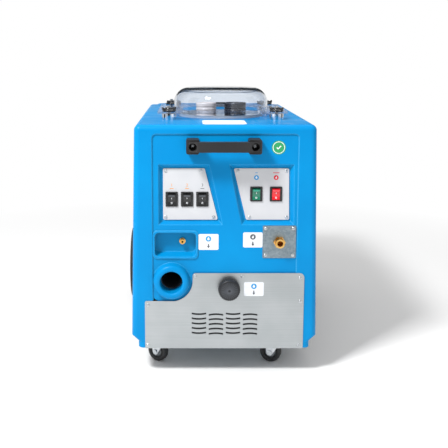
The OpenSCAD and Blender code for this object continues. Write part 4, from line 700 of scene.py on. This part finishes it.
def screw_set(name, node, head_height, **sizes):
    """Screws at the CAD node's own places: those ahead of the middle face -Y, the others +Y."""
    shape = bmesh.new()
    found = islands(node)
    for facing, turn in ((-1, 90), (1, -90)):
        points = []
        for low, high in found:
            middle_x, middle_z = (low.x + high.x) / 2, (low.z + high.z) / 2
            seat = (low.y if facing < 0 else high.y) - facing * head_height
            if seat * facing > 0:
                points.append((middle_x, seat, middle_z))
        if not points:
            continue
        stand = Matrix.Rotation(math.radians(turn), 4, "X")
        start = bpy.data.meshes.new("screw_places")
        start.from_pydata([stand.inverted() @ Vector(point) for point in points], [], [])
        made = run_tree(screws, start, Head_height=head_height, Finish=zinc_plate, **sizes)
        take_in(shape, made, stand)
    return finish_piece(name, shape, zinc_plate, "root", [node], smooth=40)


screw_set("panel_screw_set", "panel_screws", 1.6 * mm)
screw_set("handle_screw_set", "handle_screws", 3.5 * mm, Head_radius=6 * mm, Recess_length=6.5 * mm,
          Recess_width=1.5 * mm, Shank_radius=3 * mm, Shank_length=24 * mm)

# ---- Brass outlets, valve and lever ----
# The steam fitting, the water nipple and the drain valve are turned from brass bar, and
# their hexagons keep the bar's drawn faces. A red vinyl sleeve covers the valve's lever.

turned_brass = clouded_metal("turned_brass", "#F2C77C", "#D6A252", 0.28)
red_vinyl = satin_plastic("dipped_red_vinyl", "#C41F1C", "#B01714", 0.4, 3 * mm)
coat(turned_brass, "steam_fitting", "water_nipple", "drain_valve", "boiler_heater")
coat(red_vinyl, "drain_lever")

# ---- Filler cap ----
# A moulded black polypropylene cap closes the steam boiler. Lobes round its rim give grip,
# and fine ribs run out from its middle; the ribs are painted paler grey as a painted highlight.

filler_plastic = satin_plastic("black_cap_polypropylene", "#1D1F24", "#16181C", 0.42, 2 * mm, 0.2 * mm, 0.2)
# Painted highlight: the ribs' paler grey stands in for light caught on their raised edges.
rib_highlight_plastic = satin_plastic("rib_highlight_polypropylene", "#6B7078", "#4A4E55", 0.5, 2 * mm, 0.2 * mm, 0.2)


def circle_tree():
    """Copies of one item at even turns about Z."""
    tree = bpy.data.node_groups.new("circle_of_copies", "GeometryNodeTree")
    group_input(tree, "Geometry", "NodeSocketGeometry")
    group_input(tree, "Copies", "NodeSocketInt", 12)
    group_input(tree, "First turn", "NodeSocketFloat", 0.0)
    group_input(tree, "Finish", "NodeSocketMaterial")
    tree.interface.new_socket(name="Geometry", in_out="OUTPUT", socket_type="NodeSocketGeometry")
    given = add(tree, "NodeGroupInput").outputs
    step = add(tree, "ShaderNodeMath", {0: 2 * math.pi, 1: given["Copies"]}, operation="DIVIDE").outputs[0]
    index = add(tree, "GeometryNodeInputIndex").outputs[0]
    turn = add(tree, "ShaderNodeMath", {0: index, 1: step, 2: given["First turn"]},
               operation="MULTIPLY_ADD").outputs[0]
    about = add(tree, "ShaderNodeCombineXYZ", {2: turn}).outputs[0]
    points = add(tree, "GeometryNodePoints", {"Count": given["Copies"]}).outputs[0]
    placed = add(tree, "GeometryNodeInstanceOnPoints", {
        "Points": points, "Instance": given["Geometry"], "Rotation": about}).outputs[0]
    real = add(tree, "GeometryNodeRealizeInstances", {"Geometry": placed}).outputs[0]
    coated = add(tree, "GeometryNodeSetMaterial", {"Geometry": real, "Material": given["Finish"]}).outputs[0]
    add(tree, "NodeGroupOutput", {"Geometry": coated})
    return tree


circles = circle_tree()


def ring_of(shape, item, copies, place, finish, index=0, first_turn=0.0):
    """Adds even copies of an item about place's Z axis to a shape."""
    start = bpy.data.meshes.new("item")
    item.to_mesh(start)
    item.free()
    made = run_tree(circles, start, Copies=copies, First_turn=first_turn, Finish=finish)
    take_in(shape, made, place, index)


cap_low, cap_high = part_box("filler_cap")
cap_centre = (cap_low + cap_high) / 2
cap_r, cap_height = (cap_high.x - cap_low.x) / 2, cap_high.y - cap_low.y
cap_foot = Matrix.Translation((cap_centre.x, cap_high.y, cap_centre.z))
facing_front = cap_foot @ Matrix.Rotation(math.radians(90), 4, "X")
cap_shape = bmesh.new()
cap_face = cap_height - 2.2 * mm
lathe(cap_shape, [(15.3 * mm, 0), (cap_r - 1.6 * mm, 0), (cap_r - 1.2 * mm, 1 * mm)]
      + arc(cap_r - 4.2 * mm, cap_face - 3 * mm, 3 * mm, 0, 80, 6)
      + [(12 * mm, cap_face + 0.9 * mm), (0, cap_face + 1.3 * mm),
         (0, cap_height - 6 * mm), (15.3 * mm, cap_height - 6 * mm)],
      facing_front, 96)
lobe = bmesh.new()
lobe_len = cap_face - 3 * mm
bmesh.ops.create_cone(lobe, cap_ends=True, segments=12, radius1=1.7 * mm, radius2=1.5 * mm, depth=lobe_len,
                      matrix=Matrix.Translation((cap_r - 1.8 * mm, 0, lobe_len / 2 + 0.6 * mm)))
ring_of(cap_shape, lobe, 30, facing_front, filler_plastic)
rib = bmesh.new()
rib_outline = [(3 * mm, cap_face - 1 * mm), (17.6 * mm, cap_face - 2 * mm), (18.4 * mm, cap_face - 0.6 * mm),
               (17 * mm, cap_face + 0.6 * mm), (10 * mm, cap_height - 0.4 * mm),
               (3 * mm, cap_height - 0.2 * mm)]
prism(rib, rib_outline, -0.45 * mm, 0.45 * mm)
ring_of(cap_shape, rib, 24, facing_front, rib_highlight_plastic, 1)
finish_piece("lobed_filler_cap", cap_shape, [filler_plastic, rib_highlight_plastic], "filler_cap",
             ["filler_cap"], smooth=30)

# ---- Painted shade behind the louvres ----
# A black sheet lies between the body and the front panel, all round the service opening,
# as painted shade seen through the louvre slots.

louvre_shade_sheet_finish = satin_plastic("painted_shade_black", "#17181A", "#0D0E10", 0.7, 1.2 * mm, 0.3 * mm, 0.5)
shade_sheet_shape = bmesh.new()
shade_sheet_x, shade_sheet_z = 1 * mm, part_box("front_panel")[0].z + 55 * mm
shade_sheet_outline = round_rect(shade_sheet_x, shade_sheet_z, 148 * mm, 60 * mm, 4 * mm)
prism(shade_sheet_shape, shade_sheet_outline, front_y - 0.15 * mm, front_y + 0.05 * mm)
finish_piece("louvre_painted_shade_sheet", shade_sheet_shape, louvre_shade_sheet_finish, "root")

# ---- Stickers ----
# Polyester stickers mark the water outlet, the steam outlet and the filler with plain
# signs, a round one shows a tick, and a blank one lies on the top before the lid.

panel_face_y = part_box("front_panel")[0].y
gloss_sticker = polished_plastic("white_polyester_sticker", "#EDF1F5", "#E6EAF0", 0.3, 0.2)
green_ink = satin_plastic("green_screen_ink", "#35A566", "#2C9A5B", 0.4, 2 * mm)
sticker_t = 0.2 * mm


def arrow(x, z, length):
    """Outline of a plain arrow that points down."""
    head, shaft = 0.34 * length, 0.13 * length
    points = [(shaft, 0.5), (shaft, 0.0), (head, 0.0), (0, -0.5), (-head, 0.0), (-shaft, 0.0), (-shaft, 0.5)]
    return [(x + px, z + pz * length) for px, pz in points]


def sticker(name, left, right, low, high, back_y, sign, tint):
    """A rounded sticker with a round sign over a plain arrow."""
    shape = bmesh.new()
    x, z = (left + right) / 2, (low + high) / 2
    prism(shape, round_rect(x, z, right - left, high - low, 3 * mm), back_y - sticker_t, back_y)
    face = back_y - sticker_t
    sign_z = z + 0.2 * (high - low)
    prism(shape, disc(x, sign_z, 5.8 * mm), face - ink, face, 1)
    prism(shape, sign(x, sign_z - 0.5 * mm, 2.6 * mm), face - 2 * ink, face - ink, 0)
    prism(shape, arrow(x, z - 0.26 * (high - low), 9 * mm), face - ink, face, 2)
    finish_piece(name, shape, [gloss_sticker, tint, grey_ink], "root")


sticker("water_sticker", -54.7 * mm, -12.7 * mm, 271.2 * mm, 305.1 * mm, sunken_y, drop, blue_ink)
sticker("steam_sticker", 38.3 * mm, 78.9 * mm, 276.4 * mm, 308.7 * mm, sunken_y, flame, grey_ink)
sticker("filler_sticker", 41 * mm, 82.4 * mm, 172.4 * mm, 202.8 * mm, panel_face_y, drop, blue_ink)

tick_disc = bmesh.new()
tick_x, tick_z = 109 * mm, 486.4 * mm
prism(tick_disc, disc(tick_x, tick_z, 14.4 * mm, 64), sunken_y - sticker_t, sunken_y, 1)
face = sunken_y - sticker_t
prism(tick_disc, disc(tick_x, tick_z, 12.6 * mm, 64), face - ink, face, 0)
prism(tick_disc, disc(tick_x, tick_z, 11 * mm, 64), face - 2 * ink, face - ink, 1)
tick = [(-5, 0.4), (-3.4, 2), (-1.4, 0), (3.8, 5.2), (5.4, 3.6), (-1.4, -3.2)]
tick_outline = [(tick_x + x * mm, tick_z + (z - 1) * mm) for x, z in tick]
prism(tick_disc, tick_outline[::-1], face - 3 * ink, face - 2 * ink, 0)
finish_piece("tick_sticker", tick_disc, [gloss_sticker, green_ink], "root")

blank = bmesh.new()
prism(blank, round_rect(-0.5 * mm, 0, 91 * mm, 86 * mm, 10 * mm, 8), -2 * sticker_t, sticker_t)
lie_flat = Matrix.Translation((0, -270 * mm, top_z)) @ Matrix.Rotation(math.radians(-90), 4, "X")
bmesh.ops.transform(blank, matrix=lie_flat, verts=blank.verts)
matt_sticker = satin_plastic("matt_white_vinyl", "#EEF1F5", "#E6EAEF", 0.65, 3 * mm, strength=0.02)
finish_piece("blank_top_sticker", blank, matt_sticker, "root")

# ---- Casters ----
# Two swivel casters stand under the front. Pressed zinc-plated forks hold wheels with
# black rubber tyres moulded on grey nylon centres, each on a bolt.

coat(zinc_plate, "left_caster_fork", "right_caster_fork")
caster_rubber = satin_plastic("caster_rubber", "#2B2C2E", "#232426", 0.55, 2 * mm, 0.2 * mm, 0.3)
grey_nylon = satin_plastic("grey_nylon", "#8D9298", "#7F848A", 0.4, 2 * mm)
coat(grey_nylon, "left_hub", "right_hub")


def along(point, axis):
    """A place at a point whose Z axis runs along the given axis."""
    return Matrix.Translation(point) @ Vector(axis).to_track_quat("Z", "Y").to_matrix().to_4x4()


def caster_wheel(side):
    """A tyre with rounded shoulders on a dished centre that has a raised rim ring."""
    body = side + "_caster_wheel"
    joint = next(j for j in frame["joints"] if j["name"] == side + "_caster_roll")
    half, radius = 9 * mm, 23 * mm
    dish = [(3.05 * mm, half), (7 * mm, half), (8 * mm, half - 1 * mm),
            (8.6 * mm, half - 3.2 * mm), (13.4 * mm, half - 3.6 * mm)]
    rim = [(14 * mm, half - 1.4 * mm), (15.6 * mm, half - 0.9 * mm),
           (16 * mm, half - 1.8 * mm), (17.2 * mm, half - 0.6 * mm)]
    shape = bmesh.new()
    place = along(joint["pos_m"], joint["axis"])
    centre_outline = dish + [(15.5 * mm, half - 3.6 * mm), (15.5 * mm, 3.6 * mm - half)]
    lathe(shape, centre_outline + [(r, -z) for r, z in reversed(dish)], place, 64, 1)
    tyre = dish[-1:] + rim + arc(radius - 3.4 * mm, half - 3.9 * mm, 3.4 * mm, 85, 8, 7)
    lathe(shape, tyre + [(r, -z) for r, z in reversed(tyre)], place, 64, 0)
    finish_piece(body + "_tyre", shape, [caster_rubber, grey_nylon], body, [body])


caster_wheel("left")
caster_wheel("right")

# ---- Rear wheels ----
# Solid black rubber tyres with a row of lugs on each shoulder sit on grey moulded hubs and
# run on a plain steel axle.

tyre_rubber = satin_plastic("matt_black_tyre_rubber", "#242425", "#1C1C1D", 0.7, 2 * mm, 0.3 * mm, 0.4)


def rear_tyre(side):
    node = side + "_tyre"
    low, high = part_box(node)
    centre = (low + high) / 2
    half, radius = (high.x - low.x) / 2, (high.z - low.z) / 2
    bead = 68.1 * mm
    tread = radius - 1.8 * mm
    shoulder = ([(bead, half - 3 * mm)] + arc(bead + 4 * mm, half - 4 * mm, 4 * mm, 130, 90, 4)
                + [(79 * mm, half - 0.6 * mm), (80 * mm, half), (84 * mm, half), (85 * mm, half - 0.6 * mm)]
                + arc(tread - 7 * mm, half - 7.6 * mm, 7 * mm, 80, 10, 7) + [(tread, half - 10 * mm)])
    groove = [(tread, 2.2 * mm), (tread - 3 * mm, 1.6 * mm)]
    half_outline = shoulder + groove
    shape = bmesh.new()
    place = along(centre, (1, 0, 0))
    lathe(shape, half_outline + [(r, -z) for r, z in reversed(half_outline)], place, 128)
    for end in (-1, 1):
        lug = bmesh.new()
        lug_half, draft = 2.6 * mm, 0.8 * mm
        outline = [(tread - 2.2 * mm, 3.2 * mm), (radius, 3.2 * mm), (radius, half - 8 * mm),
                   (radius - 6.2 * mm, half - 1 * mm), (radius - 8 * mm, half - 1.4 * mm)]
        near = [lug.verts.new((r, (draft if r == radius else 0) - lug_half, end * z)) for r, z in outline]
        far = [lug.verts.new((r, lug_half, end * z)) for r, z in outline]
        lug.faces.new(near)
        lug.faces.new(far[::-1])
        for k in range(len(outline)):
            j = (k + 1) % len(outline)
            lug.faces.new((near[k], far[k], far[j], near[j]))
        ring_of(shape, lug, 48, place, tyre_rubber, first_turn=math.radians(3.75) if end > 0 else 0.0)
    finish_piece(side + "_tyre_tread", shape, tyre_rubber, side + "_wheel", [node], smooth=30)


rear_tyre("left")
rear_tyre("right")

# ---- Inside the body ----
# Ducts, the vacuum motor with its fan, the water pump and the steam pipe fill the inside.
# They keep plain industrial finishes: moulded, enamelled, cast and drawn.

duct_plastic = satin_plastic("dark_grey_duct_polypropylene", "#4B4E53", "#3F4246", 0.5, 3 * mm)
black_enamel = satin_plastic("satin_black_enamel", "#2A2C2E", "#222426", 0.35, 4 * mm)
cast_aluminium = clouded_metal("cast_aluminium", "#C2C5C8", "#A4A8AC", 0.5)
drawn_copper = clouded_metal("drawn_copper", "#C67D4E", "#A45F36", 0.3)
coat(duct_plastic, "vacuum_inlet_duct", "suction_duct")
coat(black_enamel, "vacuum_motor", "water_pump")
coat(cast_aluminium, "fan_casing", "impeller")
coat(drawn_copper, "steam_pipe")

# ---- Stage, lamps and camera ----
# A plain pale floor, a white surround and two soft lamps, the main one high on the left
# in front. Four dark cards give the clear lid and the bright metal something to reflect.

floor_mesh = bpy.data.meshes.new("floor")
reach = 6.0
floor_corners = [(-reach, -reach, 0), (reach, -reach, 0), (reach, reach, 0), (-reach, reach, 0)]
floor_mesh.from_pydata(floor_corners, [], [(0, 1, 2, 3)])
floor = bpy.data.objects.new("floor", floor_mesh)
bpy.context.scene.collection.objects.link(floor)
paper, tree, shader, place = start_finish("pale_studio_paper", "#FCFCFC", 0.9)
shader.inputs["Specular IOR Level"].default_value = 0.0
distance = add(tree, "ShaderNodeVectorMath", {0: place}, operation="LENGTH").outputs["Value"]
far = spread(tree, distance, 0.7, 1.5, 0.0, 1.0)
light_path = add(tree, "ShaderNodeLightPath")
seen = add(tree, "ShaderNodeMath", {0: far, 1: light_path.outputs["Is Camera Ray"]},
           operation="MULTIPLY").outputs[0]
glow = add(tree, "ShaderNodeEmission", {"Color": (1, 1, 1, 1), "Strength": 1.0})
fade = add(tree, "ShaderNodeMixShader", {0: seen, 1: shader.outputs[0], 2: glow.outputs[0]})
tree.links.new(fade.outputs[0], tree.nodes["Material Output"].inputs["Surface"])
floor_mesh.materials.append(paper)

world = bpy.data.worlds.new("white_studio")
bpy.context.scene.world = world
world.use_nodes = True
tree = world.node_tree
tree.nodes.clear()
path = add(tree, "ShaderNodeLightPath")
looked_at = add(tree, "ShaderNodeMath", {0: path.outputs["Is Camera Ray"], 1: path.outputs["Is Glossy Ray"]},
                operation="MAXIMUM").outputs[0]
looked_at = add(tree, "ShaderNodeMath", {0: looked_at, 1: path.outputs["Is Transmission Ray"]},
                operation="MAXIMUM").outputs[0]
ambient = 0.58
strength = spread(tree, looked_at, 0.0, 1.0, ambient, 1.0)
backdrop = add(tree, "ShaderNodeBackground", {"Color": (1, 1, 1, 1), "Strength": strength})
add(tree, "ShaderNodeOutputWorld", {"Surface": backdrop.outputs[0]})


def soft_lamp(name, place, target, size, power):
    lamp = bpy.data.lights.new(name, "AREA")
    lamp.shape = "SQUARE"
    lamp.size = size
    lamp.energy = power
    holder = bpy.data.objects.new(name, lamp)
    holder.location = place
    holder.rotation_euler = (Vector(target) - Vector(place)).to_track_quat("-Z", "Y").to_euler()
    bpy.context.scene.collection.objects.link(holder)


soft_lamp("key_lamp", (-1.04, -1.31, 2.13), (0, 0, 0.25), 0.42, 57)
soft_lamp("top_lamp", (0.3, 0.2, 2.4), (0, 0, 0.3), 1.4, 4)


def dark_card(name, place, target, width, height):
    """A dark card that only reflections and clear pieces show, as a studio uses beside bright metal."""
    mesh = bpy.data.meshes.new(name)
    mesh.from_pydata([(-width / 2, -height / 2, 0), (width / 2, -height / 2, 0), (width / 2, height / 2, 0),
                      (-width / 2, height / 2, 0)], [], [(0, 1, 2, 3)])
    mesh.materials.append(card_paper)
    card = bpy.data.objects.new(name, mesh)
    card.location = place
    card.rotation_euler = (Vector(target) - Vector(place)).to_track_quat("-Z", "Y").to_euler()
    card.visible_camera = False
    card.visible_diffuse = False
    card.visible_shadow = False
    bpy.context.scene.collection.objects.link(card)


card_paper = start_finish("dark_card_paper", "#30363C", 0.9)[0]
dark_card("left_card", (-2.0, -0.6, 1.0), (0, -0.1, 0.5), 1.0, 2.0)
dark_card("right_card", (2.0, -0.3, 1.0), (0, -0.1, 0.5), 1.0, 2.0)
dark_card("back_card", (0, 2.4, 1.6), (0, -0.1, 0.6), 2.6, 1.5)
dark_card("front_card", (0, -3.2, 1.0), (0, 0, 0.5), 2.6, 1.6)

camera_data = bpy.data.cameras.new("camera")
camera_data.lens = 56.35
camera_data.sensor_width = 36
camera_data.shift_x = 0.0779
camera_data.shift_y = -0.1496
camera = bpy.data.objects.new("camera", camera_data)
camera.location = (-0.074, -1.740, 0.677)
camera.rotation_euler = (math.radians(90 - 8.43), 0, 0)
bpy.context.scene.collection.objects.link(camera)
bpy.context.scene.camera = camera
bpy.context.scene.view_settings.view_transform = "Standard"
